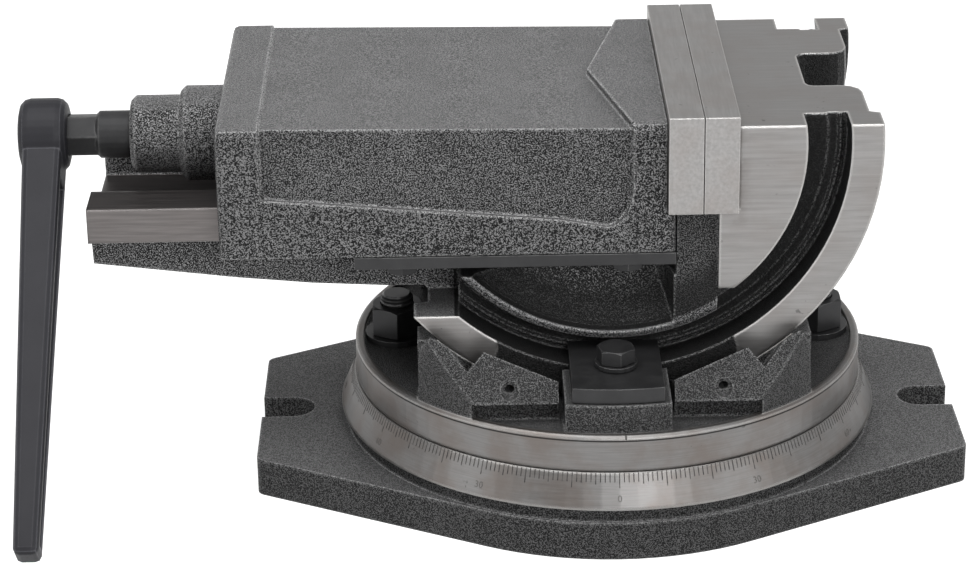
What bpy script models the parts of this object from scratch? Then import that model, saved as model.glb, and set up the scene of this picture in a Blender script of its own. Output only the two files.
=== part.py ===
"""Two-way tilting machine vise: swivel base, arc cradle, tilting body and screw-driven jaw.

Frame: metres, +Z up, origin on the swivel axis at the base's underside.
+X is the fixed-jaw side, -X the screw side, -Y the front. The body tilts about an axis along Y.
"""
import math

import bmesh
import bpy
from mathutils import Matrix, Vector

# Fits and cutting overrun
GAP = 0.0003
OVERRUN = 0.004
MERGE = 0.000005
WELD = 0.00002
HOLE_CLEARANCE = 0.0006

# Base plate
EAR_REACH = 0.0298
BASE_END_WIDTH = 0.0874
BASE_THICKNESS = 0.0140
BASE_LEDGE = 0.0001
BASE_CORNER_RADIUS = 0.0040
BASE_EDGE_RADIUS = 0.0022
SLOT_WIDTH = 0.0164
SLOT_DEPTH = 0.0195
BOSS_HEIGHT = 0.0050
BOSS_UNDERCUT = 0.0017
UNDERSIDE_LAND_RADIUS = 0.0240
UNDERSIDE_RECESS_RADIUS = 0.0580
UNDERSIDE_RECESS_DEPTH = 0.0080

# Scale ring, a ground cone on the boss
SCALE_SHOW = 0.0007
SCALE_SPREAD = 0.0052
SCALE_HEIGHT = 0.0120

# Circular T-slot and its bolts
TEE_INSET = 0.0157
TEE_NECK_WIDTH = 0.0126
TEE_HEAD_WIDTH = 0.0192
TEE_HEAD_HEIGHT = 0.0085
TEE_LIP = 0.0090
TEE_ENTRY_DIAMETER = 0.0262
SWIVEL_BOLT_DIAMETER = 0.0120
SWIVEL_BOLT_HEAD = 0.0180
SWIVEL_BOLT_SHOW = 0.0040
SWIVEL_NUT_ACROSS_FLATS = 0.0180
SWIVEL_NUT_HEIGHT = 0.0108
SWIVEL_WASHER_DIAMETER = 0.0240
SWIVEL_WASHER_THICKNESS = 0.0022
THREAD_POINT = 0.0012

# Centre pivot
PIVOT_DIAMETER = 0.0260
PIVOT_DEPTH = 0.0180
PIVOT_HEAD_DIAMETER = 0.0340
PIVOT_HEAD_HEIGHT = 0.0030

# Swivel table
TABLE_RADIUS = 0.0933
TABLE_THICKNESS = 0.0112
TABLE_RIM_WIDTH = 0.0030
TABLE_RIM_HEIGHT = 0.0020
TABLE_RIM_EDGE = 0.0008

# Cradle lugs; rises are above the table's floor
LUG_INNER_X = 0.0203
LUG_OUTER_X = 0.0700
LUG_BACK_Y = 0.0455
LUG_TOP_Y = 0.0635
LUG_FOOT_Y = 0.0777
LUG_FRONT_Y = 0.0900
LUG_INSET = 0.0013
LUG_INNER_RISE = 0.0092
LUG_SHOULDER_X = 0.0462
LUG_SHOULDER_RISE = 0.0214
LUG_VEE_X = 0.0520
LUG_VEE_RISE = 0.0136
LUG_CREST_X = 0.0590
LUG_CREST_RISE = 0.0238
LUG_PEAK_X = 0.0648
LUG_PEAK_RISE = 0.0277
LUG_CORNER_X = 0.0688
LUG_CORNER_RISE = 0.0228
LUG_CREST_FALL_SHARE = 0.5
LUG_SEAT_RISE = 0.0240
LUG_SEAT_INSET = 0.0006
LUG_RELIEF_RISE = 0.0076
LUG_RELIEF_X = 0.0508
LUG_RELIEF_Y = 0.0735
LUG_HOLE_X = 0.0374
LUG_HOLE_RISE = 0.0115
LUG_HOLE_DIAMETER = 0.0034
LUG_HOLE_DEPTH = 0.0100
LUG_SPOT_DIAMETER = 0.0060
LUG_SPOT_DEPTH = 0.0020

# Tilting body: arc flanges, webs, sector and bulge, stepped inwards from the outer arc
TILT_RADIUS = 0.0930
FLANGE_THICKNESS = 0.0114
WEB_INSET = 0.0036
GROOVE_WIDTH = 0.0068
GROOVE_RIDGE_INSET = 0.0024
GROOVE_SHELF = 0.0083
GROOVE_RIDGE_WIDTH = 0.0024
GROOVE_RIDGE_HEIGHT = 0.0010
GROOVE_STEP = 0.0012
BULGE_STEP = 0.0028
BULGE_EDGE = 0.0030
BULGE_RIGHT_X = 0.0362
DISH_LEDGE = 0.0034
DISH_FLOOR_HALF = 0.0360
DISH_END_X = 0.0209
DISH_CORNER_RADIUS = 0.0180
MIDDLE_GAP_DEPTH = 0.0191
MIDDLE_GAP_WIDTH = 0.0350
MIDDLE_GAP_LIP_RADIUS = 0.0070
MIDDLE_GAP_ROOT_RADIUS = 0.0030
CASTING_WIDTH = 0.1160
GROOVE_DEPTH = 0.0120
WEB_DRAFT = 0.0014
CAST_RECESS = 0.0020
CAST_RECESS_LAP = 0.0020
SEAT_OVER_FLOOR = 0.0003
FLANGE_END_X = 0.0546
FLANGE_END_DROP = 0.0606
SECTOR_TOP_DROP = 0.0468
TOP_ABOVE_AXIS = 0.0084
GROUND_FACE_X = 0.0364
GROUND_FACE_DROP = 0.0516

# Jaw plates
PARTING_X = 0.03055
CLOSED_GAP = 0.0002
PLATE_WIDTH = 0.1250
PLATE_HEIGHT = 0.0354
PLATE_THICKNESS = 0.0121
PLATE_PROUD = 0.0050
PLATE_CHAMFER = 0.0002
PLATE_SCREW_DIAMETER = 0.0080
PLATE_SCREW_HEAD_DIAMETER = 0.0130
PLATE_SCREW_HEAD_HEIGHT = 0.0070
PLATE_SCREW_SINK = 0.0008
PLATE_SCREW_REACH = 0.0110
PLATE_SCREW_SPACING = 0.0760

# Slideways and bed
SEAT_UNDER_PLATE = 0.0028
RAIL_THICKNESS = 0.0127
RAIL_OUTER_Y = 0.0410
RAIL_INNER_Y = 0.0230
CHANNEL_DEPTH = 0.0115
BED_END_X = -0.1850
FIXED_BLOCK_X = 0.0219
BEAM_HALF_WIDTH = 0.0325
BEAM_END_DEPTH = 0.0238
BEAM_MIDDLE_X = -0.1345
BEAM_MIDDLE_DEPTH = 0.0301
BEAM_BELLY_X = -0.1070
BEAM_BELLY_DEPTH = 0.0328
BEAM_ROOT_X = -0.0800
BEAM_ROOT_DEPTH = 0.0343
BEAM_END_DRAFT = 0.0005
JAW_TRAVEL = 0.1000

# Movable jaw casting
JAW_LEFT_X = -0.1375
JAW_FLANGE_THICKNESS = 0.0150
JAW_TOP_OVER_CASTING = 0.0017
JAW_TOE = 0.0034
JAW_EDGE_RADIUS = 0.0022
JAW_ROOF = 0.0100
JAW_HEAD_WALL = 0.0140
PANEL_STEP = 0.0025
PANEL_TOP_LEFT_STEP = 0.0008
PANEL_TOP_RIGHT_STEP = 0.0026
PANEL_EDGE_X = 0.0065
PANEL_APEX_X = -0.0070
PANEL_BEND_DROP = 0.0237
PANEL_CORNER_X = -0.0027
PANEL_CORNER_DROP = 0.0381
PANEL_RIDGE_X = -0.0190
PANEL_RIDGE_DROP = 0.0350
PANEL_LEFT_DROP = 0.0259
BIG_BOSS_DIAMETER = 0.0344
BIG_BOSS_LENGTH = 0.0159
SMALL_BOSS_DIAMETER = 0.0280
SMALL_BOSS_LENGTH = 0.0180
BOSS_EDGE = 0.0018

# Gib strips that hold the jaw down
GIB_LEFT_X = -0.0907
GIB_THICKNESS = 0.0043
GIB_SIDE_CLEARANCE = 0.0015
GIB_PROUD = 0.0003
GIB_BOLT_DIAMETER = 0.0060
GIB_BOLT_ACROSS_FLATS = 0.0100
GIB_BOLT_HEAD = 0.0038
GIB_BOLT_REACH = 0.0130
GIB_BOLT_INSET = 0.0165

# Lead screw, its nut and thrust collar
SCREW_OVER_RAIL = 0.0132
SCREW_DIAMETER = 0.0140
JOURNAL_DIAMETER = 0.0146
SHOULDER_DIAMETER = 0.0172
SHOULDER_LENGTH = 0.0125
HEX_ACROSS_FLATS = 0.0140
HEX_SHOW = 0.0101
HEX_SHORT = 0.0019
NUT_LEFT_X = -0.1215
NUT_LENGTH = 0.0240
NUT_POST_WIDTH = 0.0240
NUT_FOOT_HEIGHT = 0.0080
NUT_SIDE_CLEARANCE = 0.0005
NUT_SCREW_DIAMETER = 0.0050
NUT_SCREW_HEAD_DIAMETER = 0.0085
NUT_SCREW_HEAD_HEIGHT = 0.0050
NUT_SCREW_REACH = 0.0100
SCREW_PAST_NUT = 0.0005
COLLAR_DIAMETER = 0.0280
COLLAR_LENGTH = 0.0069
COLLAR_PIN_DIAMETER = 0.0030

# Tilt clamps
PAD_WIDTH = 0.0370
PAD_INSET = 0.0035
PAD_BACK_CLEARANCE = 0.0008
CLAMP_WIDTH = 0.0320
CLAMP_THICKNESS = 0.0055
CLAMP_INSET = 0.0013
CLAMP_NOSE_CLEARANCE = 0.0008
CLAMP_EDGE = 0.0008
CLAMP_BOLT_SHARE = 0.33
CLAMP_BOLT_DIAMETER = 0.0080
CLAMP_BOLT_ACROSS_FLATS = 0.0120
CLAMP_BOLT_HEAD = 0.0052
CLAMP_BOLT_TURN = math.radians(12)
CLAMP_BOLT_REACH = 0.0160
CLAMP_WASHER_DIAMETER = 0.0150
CLAMP_WASHER_THICKNESS = 0.0016

# Crank handle
HUB_DIAMETER = 0.0270
HUB_LENGTH = 0.0175
HUB_EDGE = 0.0040
ARM_LENGTH = 0.1610
ARM_ROOT_WIDTH = 0.0190
ARM_TIP_WIDTH = 0.0125
ARM_ROOT_THICKNESS = 0.0144
ARM_TIP_THICKNESS = 0.0088
ARM_EDGE = 0.0022
ARM_CHANNEL_DEPTH = 0.0020
ARM_CHANNEL_MARGIN = 0.0036
ARM_CHANNEL_START = 0.0190
ARM_SWING = math.radians(47)
HEX_SOCKET_CLEARANCE = 0.0006

# Socket-head screws, as shares of the head
SOCKET_WIDTH_SHARE = 0.55
SOCKET_DEPTH_SHARE = 0.50

# Facets
LARGE_SEGMENTS = 96
MEDIUM_SEGMENTS = 40
BOSS_SEGMENTS = 32
SCREW_SEGMENTS = 24
SMALL_SEGMENTS = 20
TINY_SEGMENTS = 12

# Radii worked out from the table's radius
SCALE_TOP_RADIUS = TABLE_RADIUS + SCALE_SHOW
SCALE_FOOT_RADIUS = SCALE_TOP_RADIUS + SCALE_SPREAD
BOSS_WALL_RADIUS = SCALE_FOOT_RADIUS - BOSS_UNDERCUT
BASE_ROUND_RADIUS = SCALE_FOOT_RADIUS + BASE_LEDGE
BASE_LENGTH = 2 * (BASE_ROUND_RADIUS + EAR_REACH)
TEE_CIRCLE_RADIUS = TABLE_RADIUS - TEE_INSET
LUG_ROUND_RADIUS = TABLE_RADIUS - LUG_INSET
PAD_FRONT_RADIUS = TABLE_RADIUS - PAD_INSET
CLAMP_FRONT_RADIUS = PAD_FRONT_RADIUS - CLAMP_INSET

# Radii worked out from the tilting body's outer arc
FLANGE_INNER_RADIUS = TILT_RADIUS - FLANGE_THICKNESS
WEB_RADIUS = TILT_RADIUS - WEB_INSET
MIDDLE_GAP_RADIUS = WEB_RADIUS - MIDDLE_GAP_DEPTH
GROOVE_RIDGE_RADIUS = FLANGE_INNER_RADIUS - GROOVE_RIDGE_INSET
GROOVE_STEP_RADIUS = FLANGE_INNER_RADIUS - GROOVE_WIDTH
CAST_RECESS_RADIUS = GROOVE_STEP_RADIUS + CAST_RECESS_LAP
BULGE_RADIUS = GROOVE_STEP_RADIUS - BULGE_STEP
DISH_RIM_RADIUS = BULGE_RADIUS - DISH_LEDGE
SECTOR_RADIUS = GROOVE_STEP_RADIUS - GROOVE_SHELF

# Levels and places worked out from the sizes above
BOSS_TOP = BASE_THICKNESS + BOSS_HEIGHT
BASE_TOP = BOSS_TOP + SCALE_HEIGHT
TEE_LIP_Z = BASE_TOP - TEE_LIP
TABLE_BOTTOM = BASE_TOP + GAP
TABLE_FLOOR = TABLE_BOTTOM + TABLE_THICKNESS
TABLE_MIDDLE = TABLE_FLOOR - TABLE_THICKNESS / 2
RIM_TOP = TABLE_FLOOR + TABLE_RIM_HEIGHT
AXIS_Z = TABLE_FLOOR + SEAT_OVER_FLOOR + GAP + TILT_RADIUS
CASTING_TOP = AXIS_Z + TOP_ABOVE_AXIS
PLATE_TOP = CASTING_TOP + PLATE_PROUD
PLATE_BOTTOM = PLATE_TOP - PLATE_HEIGHT
PLATE_MIDDLE = (PLATE_TOP + PLATE_BOTTOM) / 2
RAIL_TOP = PLATE_BOTTOM - SEAT_UNDER_PLATE
RAIL_BOTTOM = RAIL_TOP - RAIL_THICKNESS
CHANNEL_FLOOR = RAIL_TOP - CHANNEL_DEPTH
SECTOR_TOP = AXIS_Z - SECTOR_TOP_DROP
JAW_TOP = CASTING_TOP + JAW_TOP_OVER_CASTING
SCREW_Z = RAIL_TOP + SCREW_OVER_RAIL
GIB_TOP = RAIL_BOTTOM - GAP
GIB_BOTTOM = GIB_TOP - GIB_THICKNESS
CASTING_HALF = CASTING_WIDTH / 2
CAST_HALF = CASTING_HALF - CAST_RECESS
WEB_HALF = CASTING_HALF - GROOVE_DEPTH
CLAMP_BOLT_Y = CASTING_HALF + (PAD_FRONT_RADIUS - CASTING_HALF) * CLAMP_BOLT_SHARE
MOVABLE_FACE_X = PARTING_X - CLOSED_GAP / 2
FIXED_FACE_X = PARTING_X + CLOSED_GAP / 2
MOVABLE_SEAT_X = MOVABLE_FACE_X - PLATE_THICKNESS - GAP
FIXED_SEAT_X = FIXED_FACE_X + PLATE_THICKNESS + GAP
JAW_RIGHT_X = MOVABLE_SEAT_X + JAW_TOE
HOLLOW_LEFT_X = JAW_LEFT_X + JAW_FLANGE_THICKNESS
HOLLOW_RIGHT_X = MOVABLE_SEAT_X - JAW_HEAD_WALL
HOLLOW_TOP = JAW_TOP - JAW_ROOF
COLLAR_RIGHT_X = HOLLOW_LEFT_X - GAP
COLLAR_LEFT_X = COLLAR_RIGHT_X - COLLAR_LENGTH
COLLAR_X = (COLLAR_LEFT_X + COLLAR_RIGHT_X) / 2
BIG_BOSS_X = JAW_LEFT_X - BIG_BOSS_LENGTH
SMALL_BOSS_X = BIG_BOSS_X - SMALL_BOSS_LENGTH
SHOULDER_X = SMALL_BOSS_X - GAP
HEX_X = SHOULDER_X - SHOULDER_LENGTH
HUB_RIGHT_X = HEX_X - HEX_SHOW
HUB_LEFT_X = HUB_RIGHT_X - HUB_LENGTH
HUB_X = (HUB_LEFT_X + HUB_RIGHT_X) / 2
NUT_RIGHT_X = NUT_LEFT_X + NUT_LENGTH
SCREW_TIP_X = NUT_RIGHT_X + JAW_TRAVEL + SCREW_PAST_NUT
PAD_TOP = AXIS_Z - FLANGE_INNER_RADIUS
CLAMP_BOTTOM = PAD_TOP + GAP
CLAMP_TOP = CLAMP_BOTTOM + CLAMP_THICKNESS
CLAMP_HEAD_BOTTOM = CLAMP_TOP + GAP + CLAMP_WASHER_THICKNESS + GAP
WASHER_BOTTOM = TABLE_FLOOR + GAP
SWIVEL_NUT_BOTTOM = WASHER_BOTTOM + SWIVEL_WASHER_THICKNESS + GAP

SIDES = ((-1, "front"), (1, "rear"))
ENDS = ((-1, "left"), (1, "right"))


def clear_scene():
    for old in list(bpy.data.objects):
        bpy.data.objects.remove(old, do_unlink=True)


def collection(name):
    made = bpy.data.collections.new(name)
    bpy.context.scene.collection.children.link(made)
    return made


clear_scene()
PARTS = collection("tilting_vise")
CUTTERS = collection("cutters")


def material(name, colour, roughness, metallic):
    made = bpy.data.materials.new(name)
    made.use_nodes = True
    shader = made.node_tree.nodes["Principled BSDF"]
    shader.inputs["Base Color"].default_value = (*colour, 1.0)
    shader.inputs["Roughness"].default_value = roughness
    shader.inputs["Metallic"].default_value = metallic
    return made


PAINT = material("hammertone_paint", (0.075, 0.075, 0.078), 0.50, 0.1)
GROUND_STEEL = material("ground_steel", (0.36, 0.35, 0.34), 0.32, 1.0)
BLACK_STEEL = material("black_oxide_steel", (0.025, 0.025, 0.027), 0.45, 0.6)
HANDLE_IRON = material("handle_iron", (0.070, 0.070, 0.082), 0.45, 0.5)
SCREW_STEEL = material("screw_steel", (0.050, 0.050, 0.052), 0.40, 0.8)
NUT_BRONZE = material("nut_bronze", (0.45, 0.28, 0.12), 0.40, 1.0)


def link(mesh, name, finish=None):
    """Put a mesh among the parts when it has a finish, otherwise among the cutters."""
    obj = bpy.data.objects.new(name, mesh)
    if finish is None:
        CUTTERS.objects.link(obj)
        obj.hide_render = True
        obj.display_type = "WIRE"
    else:
        PARTS.objects.link(obj)
        mesh.materials.append(finish)
    return obj


def from_bmesh(bm, name, finish=None, smooth=False):
    mesh = bpy.data.meshes.new(name)
    bm.normal_update()
    bm.to_mesh(mesh)
    bm.free()
    if smooth:
        mesh.shade_smooth()
        mesh.set_sharp_from_angle(angle=math.radians(35))
    return link(mesh, name, finish)


def round_edges(obj, width, segments=2, angle=30):
    step = obj.modifiers.new("edges", "BEVEL")
    step.width = width
    step.segments = segments
    step.limit_method = "ANGLE"
    step.angle_limit = math.radians(angle)


def block(name, x, y, z, finish=None):
    """A box between the given pairs of coordinates."""
    spans = [sorted(pair) for pair in (x, y, z)]
    bm = bmesh.new()
    bmesh.ops.create_cube(bm, size=1.0)
    bmesh.ops.scale(bm, vec=[high - low for low, high in spans], verts=bm.verts)
    bmesh.ops.translate(bm, vec=[(high + low) / 2 for low, high in spans], verts=bm.verts)
    return from_bmesh(bm, name, finish)


AXES = {
    "X": Matrix.Rotation(math.radians(90), 4, "Y"),
    "Y": Matrix.Rotation(math.radians(-90), 4, "X"),
    "Z": Matrix.Identity(4),
}


def rod(name, axis, centre, radius, ends, finish=None, segments=SMALL_SEGMENTS, turn=0.0):
    """A cylinder along an axis through centre, between two coordinates on that axis."""
    low, high = sorted(ends)
    bm = bmesh.new()
    bmesh.ops.create_cone(bm, cap_ends=True, segments=segments, radius1=radius, radius2=radius,
                          depth=high - low)
    bmesh.ops.rotate(bm, cent=(0, 0, 0), matrix=Matrix.Rotation(turn, 3, "Z"), verts=bm.verts)
    place = Vector(centre)
    place["XYZ".index(axis)] = (low + high) / 2
    bmesh.ops.transform(bm, matrix=Matrix.Translation(place) @ AXES[axis], verts=bm.verts)
    return from_bmesh(bm, name, finish, smooth=finish is not None)


def corner_radius(across_flats):
    return across_flats / 2 / math.cos(math.radians(30))


def hexagon(name, axis, centre, across_flats, ends, finish=None, turn=0.0):
    obj = rod(name, axis, centre, corner_radius(across_flats), ends, finish, 6, turn)
    for polygon in obj.data.polygons:
        polygon.use_smooth = False
    return obj


def turned(name, profile, axis, centre, finish=None, segments=MEDIUM_SEGMENTS, closed=False):
    """Turn (radius, height) points, listed from the top down, about an axis."""
    mesh = bpy.data.meshes.new(name)
    edges = [(i, i + 1) for i in range(len(profile) - 1)]
    if closed:
        edges.append((len(profile) - 1, 0))
    mesh.from_pydata([(r, 0.0, h) for r, h in profile], edges, [])
    obj = link(mesh, name, finish)
    turn = obj.modifiers.new("turn", "SCREW")
    turn.axis = "Z"
    turn.angle = math.radians(360)
    turn.steps = segments
    turn.render_steps = segments
    turn.use_merge_vertices = True
    turn.merge_threshold = MERGE
    turn.use_smooth_shade = True
    obj.matrix_world = Matrix.Translation(Vector(centre)) @ AXES[axis]
    return obj


def outline(name, points, thickness, matrix, finish=None):
    """A flat outline with a thickness centred on its plane, which the matrix places."""
    curve = bpy.data.curves.new(name, "CURVE")
    curve.dimensions = "2D"
    curve.fill_mode = "BOTH"
    curve.extrude = thickness / 2
    spline = curve.splines.new("POLY")
    spline.points.add(len(points) - 1)
    for point, (u, v) in zip(spline.points, points):
        point.co = (u, v, 0.0, 1.0)
    spline.use_cyclic_u = True
    guide = bpy.data.objects.new(name + "_curve", curve)
    bpy.context.scene.collection.objects.link(guide)
    guide.matrix_world = matrix
    bpy.context.view_layer.update()
    depsgraph = bpy.context.evaluated_depsgraph_get()
    mesh = bpy.data.meshes.new_from_object(guide.evaluated_get(depsgraph))
    bpy.data.objects.remove(guide, do_unlink=True)
    bm = bmesh.new()
    bm.from_mesh(mesh)
    bmesh.ops.remove_doubles(bm, verts=bm.verts, dist=MERGE)
    bmesh.ops.recalc_face_normals(bm, faces=bm.faces)
    bm.to_mesh(mesh)
    bm.free()
    mesh.materials.clear()
    mesh.name = name
    obj = link(mesh, name, finish)
    obj.matrix_world = matrix
    return obj


def side_view(y):
    """Plane of an outline drawn in X and Z, at the given Y."""
    return Matrix.Translation((0, y, 0)) @ Matrix.Rotation(math.radians(90), 4, "X")


def end_view(x):
    """Plane of an outline drawn in Y and Z, at the given X."""
    return Matrix.Translation((x, 0, 0)) @ Matrix.Rotation(math.radians(90), 4, "Z") @ side_view(0)


def plan_view(z):
    """Plane of an outline drawn in X and Y, at the given Z."""
    return Matrix.Translation((0, 0, z))


def arc(centre, radius, start, end, steps):
    """Points on an arc, its angles in degrees."""
    angles = [math.radians(start + (end - start) * i / steps) for i in range(steps + 1)]
    return [(centre[0] + radius * math.cos(a), centre[1] + radius * math.sin(a)) for a in angles]


def boolean(target, tool, operation):
    """One Boolean step, then a weld of the points that it leaves on top of each other."""
    step = target.modifiers.new(operation.lower(), "BOOLEAN")
    step.operation = operation
    step.solver = "EXACT"
    step.object = tool
    weld = target.modifiers.new("weld", "WELD")
    weld.merge_threshold = WELD


def cut(target, *tools):
    for tool in tools:
        boolean(target, tool, "DIFFERENCE")


def fuse(target, *tools):
    for tool in tools:
        boolean(target, tool, "UNION")


def joint_empty(name, place, parent=None):
    """An empty on a joint's axis, which its moving pieces hang from."""
    empty = bpy.data.objects.new(name, None)
    empty.empty_display_size = HUB_DIAMETER
    PARTS.objects.link(empty)
    empty.location = place
    bpy.context.view_layer.update()
    if parent:
        empty.parent = parent
        empty.matrix_parent_inverse = parent.matrix_world.inverted()
        bpy.context.view_layer.update()
    return empty


def hang(parent, *objects):
    for obj in objects:
        obj.parent = parent
        obj.matrix_parent_inverse = parent.matrix_world.inverted()


def base_outline():
    """Flat ends with rounded corners, joined to the round middle by tangents."""
    half_length = BASE_LENGTH / 2
    half_end = BASE_END_WIDTH / 2
    reach = math.hypot(half_length, half_end)
    touch = math.atan2(half_end, half_length) + math.acos(BASE_ROUND_RADIUS / reach)
    r = BASE_CORNER_RADIUS
    centre = (half_length - r, half_end - r * math.tan(touch / 2))
    degrees = math.degrees(touch)
    corner = arc(centre, r, 0, degrees, 4)
    middle = arc((0, 0), BASE_ROUND_RADIUS, degrees, 180 - degrees, 16)
    upper = corner + middle + [(-x, y) for x, y in reversed(corner)]
    return upper + [(x, -y) for x, y in reversed(upper)]


def base_plate():
    base = outline("base_plate", base_outline(), BASE_THICKNESS, plan_view(BASE_THICKNESS / 2), PAINT)
    round_edges(base, BASE_EDGE_RADIUS, angle=60)
    fuse(base, turned("boss", [
        (0, BASE_TOP),
        (SCALE_TOP_RADIUS, BASE_TOP),
        (SCALE_FOOT_RADIUS, BOSS_TOP),
        (BOSS_WALL_RADIUS, BOSS_TOP),
        (BOSS_WALL_RADIUS, BASE_THICKNESS / 2),
        (0, BASE_THICKNESS / 2),
    ], "Z", (0, 0, 0), segments=LARGE_SEGMENTS))
    neck = TEE_NECK_WIDTH / 2
    head = TEE_HEAD_WIDTH / 2
    floor = TEE_LIP_Z - TEE_HEAD_HEIGHT
    slot = turned("tee_slot", [
        (TEE_CIRCLE_RADIUS + neck, BASE_TOP + OVERRUN),
        (TEE_CIRCLE_RADIUS + neck, TEE_LIP_Z),
        (TEE_CIRCLE_RADIUS + head, TEE_LIP_Z),
        (TEE_CIRCLE_RADIUS + head, floor),
        (TEE_CIRCLE_RADIUS - head, floor),
        (TEE_CIRCLE_RADIUS - head, TEE_LIP_Z),
        (TEE_CIRCLE_RADIUS - neck, TEE_LIP_Z),
        (TEE_CIRCLE_RADIUS - neck, BASE_TOP + OVERRUN),
    ], "Z", (0, 0, 0), segments=LARGE_SEGMENTS, closed=True)
    entry = rod("tee_entry", "Z", (0, TEE_CIRCLE_RADIUS, 0), TEE_ENTRY_DIAMETER / 2,
                (-OVERRUN, TEE_LIP_Z - TEE_HEAD_HEIGHT / 2), segments=SMALL_SEGMENTS)
    pivot = rod("pivot_bore", "Z", (0, 0, 0), PIVOT_DIAMETER / 2 + GAP,
                (BASE_TOP - PIVOT_DEPTH, BASE_TOP + OVERRUN), segments=MEDIUM_SEGMENTS)
    recess = turned("underside_recess", [
        (UNDERSIDE_RECESS_RADIUS, UNDERSIDE_RECESS_DEPTH),
        (UNDERSIDE_RECESS_RADIUS, -OVERRUN),
        (UNDERSIDE_LAND_RADIUS, -OVERRUN),
        (UNDERSIDE_LAND_RADIUS, UNDERSIDE_RECESS_DEPTH),
    ], "Z", (0, 0, 0), closed=True)
    cut(base, slot, entry, pivot, recess)
    half = SLOT_WIDTH / 2
    root = BASE_LENGTH / 2 - SLOT_DEPTH + half
    mouth = BASE_LENGTH / 2 + OVERRUN
    for hand, end in ENDS:
        points = [(mouth, -half)] + arc((root, 0), half, 270, 90, 10) + [(mouth, half)]
        cut(base, outline("ear_slot_" + end, [(hand * x, y) for x, y in points],
                          BASE_THICKNESS + 2 * OVERRUN, plan_view(BASE_THICKNESS / 2)))
    return base


def pivot_pin():
    """Headed pin that centres the table on the base."""
    return turned("pivot_pin", [
        (0, TABLE_FLOOR),
        (PIVOT_HEAD_DIAMETER / 2, TABLE_FLOOR),
        (PIVOT_HEAD_DIAMETER / 2, TABLE_FLOOR - PIVOT_HEAD_HEIGHT),
        (PIVOT_DIAMETER / 2, TABLE_FLOOR - PIVOT_HEAD_HEIGHT),
        (PIVOT_DIAMETER / 2, BASE_TOP - PIVOT_DEPTH + GAP),
        (0, BASE_TOP - PIVOT_DEPTH + GAP),
    ], "Z", (0, 0, 0), BLACK_STEEL)


def lug_crest():
    """The crest of a right-hand lug seen from the front, with its vee notch."""
    return [
        (LUG_OUTER_X, TABLE_MIDDLE),
        (LUG_CORNER_X, TABLE_FLOOR + LUG_CORNER_RISE),
        (LUG_PEAK_X, TABLE_FLOOR + LUG_PEAK_RISE),
        (LUG_CREST_X, TABLE_FLOOR + LUG_CREST_RISE),
        (LUG_VEE_X, TABLE_FLOOR + LUG_VEE_RISE),
        (LUG_SHOULDER_X, TABLE_FLOOR + LUG_SHOULDER_RISE),
        (LUG_INNER_X, TABLE_FLOOR + LUG_INNER_RISE),
        (LUG_INNER_X, TABLE_MIDDLE),
    ]


def fall_inwards(wall, side, middle):
    """Let a lug's crest fall towards the casting, so that it is highest on the sloping front."""
    bm = bmesh.new()
    bm.from_mesh(wall.data)
    for vert in bm.verts:
        if vert.co.y > TABLE_FLOOR:
            vert.co.y += (middle - side * vert.co.z - LUG_TOP_Y) * LUG_CREST_FALL_SHARE
    bmesh.ops.triangulate(bm, faces=bm.faces)
    bm.to_mesh(wall.data)
    bm.free()


def lug(name, hand, side):
    """One cradle lug: a seat block behind a front wall that slopes outwards to its foot."""
    wall_back = CASTING_HALF - LUG_SEAT_INSET
    wall_middle = (LUG_FRONT_Y + wall_back) / 2
    wall_points = [(hand * x, z) for x, z in lug_crest()]
    wall = outline(name + "_wall", wall_points, LUG_FRONT_Y - wall_back, side_view(side * wall_middle))
    fall_inwards(wall, side, wall_middle)
    seat = block(name + "_seat", (hand * (LUG_INNER_X + GAP), hand * (LUG_OUTER_X - LUG_SEAT_INSET)),
                 (side * LUG_BACK_Y, side * CASTING_HALF),
                 (TABLE_MIDDLE + GAP, TABLE_FLOOR + LUG_SEAT_RISE))
    lean = (LUG_FOOT_Y - LUG_TOP_Y) / (LUG_PEAK_RISE - LUG_RELIEF_RISE)
    above = (LUG_FRONT_Y - LUG_TOP_Y) * LUG_CREST_FALL_SHARE + OVERRUN
    top = TABLE_FLOOR + LUG_PEAK_RISE + above
    low = TABLE_MIDDLE - OVERRUN
    slope = outline(name + "_slope", [
        (side * (LUG_TOP_Y - above * lean), top),
        (side * LUG_FOOT_Y, TABLE_FLOOR + LUG_RELIEF_RISE),
        (side * LUG_FOOT_Y, low),
        (side * (LUG_FRONT_Y + OVERRUN), low),
        (side * (LUG_FRONT_Y + OVERRUN), top),
    ], LUG_OUTER_X - LUG_INNER_X + 2 * OVERRUN, end_view(hand * (LUG_OUTER_X + LUG_INNER_X) / 2))
    relief = block(name + "_relief", (hand * (LUG_INNER_X - OVERRUN), hand * LUG_RELIEF_X),
                   (side * LUG_RELIEF_Y, side * LUG_FRONT_Y), (low - GAP, TABLE_FLOOR + LUG_RELIEF_RISE))
    face = LUG_FOOT_Y - (LUG_HOLE_RISE - LUG_RELIEF_RISE) * lean
    hole_profile = [
        (0, LUG_FRONT_Y + OVERRUN),
        (LUG_SPOT_DIAMETER / 2, LUG_FRONT_Y + OVERRUN),
        (LUG_SPOT_DIAMETER / 2, face - LUG_SPOT_DEPTH),
        (LUG_HOLE_DIAMETER / 2, face - LUG_SPOT_DEPTH),
        (LUG_HOLE_DIAMETER / 2, face - LUG_HOLE_DEPTH),
        (0, face - LUG_HOLE_DEPTH),
    ]
    if side < 0:
        hole_profile = [(r, -y) for r, y in reversed(hole_profile)]
    hole = turned(name + "_hole", hole_profile, "Y", (hand * LUG_HOLE_X, 0, TABLE_FLOOR + LUG_HOLE_RISE),
                  segments=TINY_SEGMENTS)
    cut(wall, slope, relief, hole)
    return seat, wall


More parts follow.
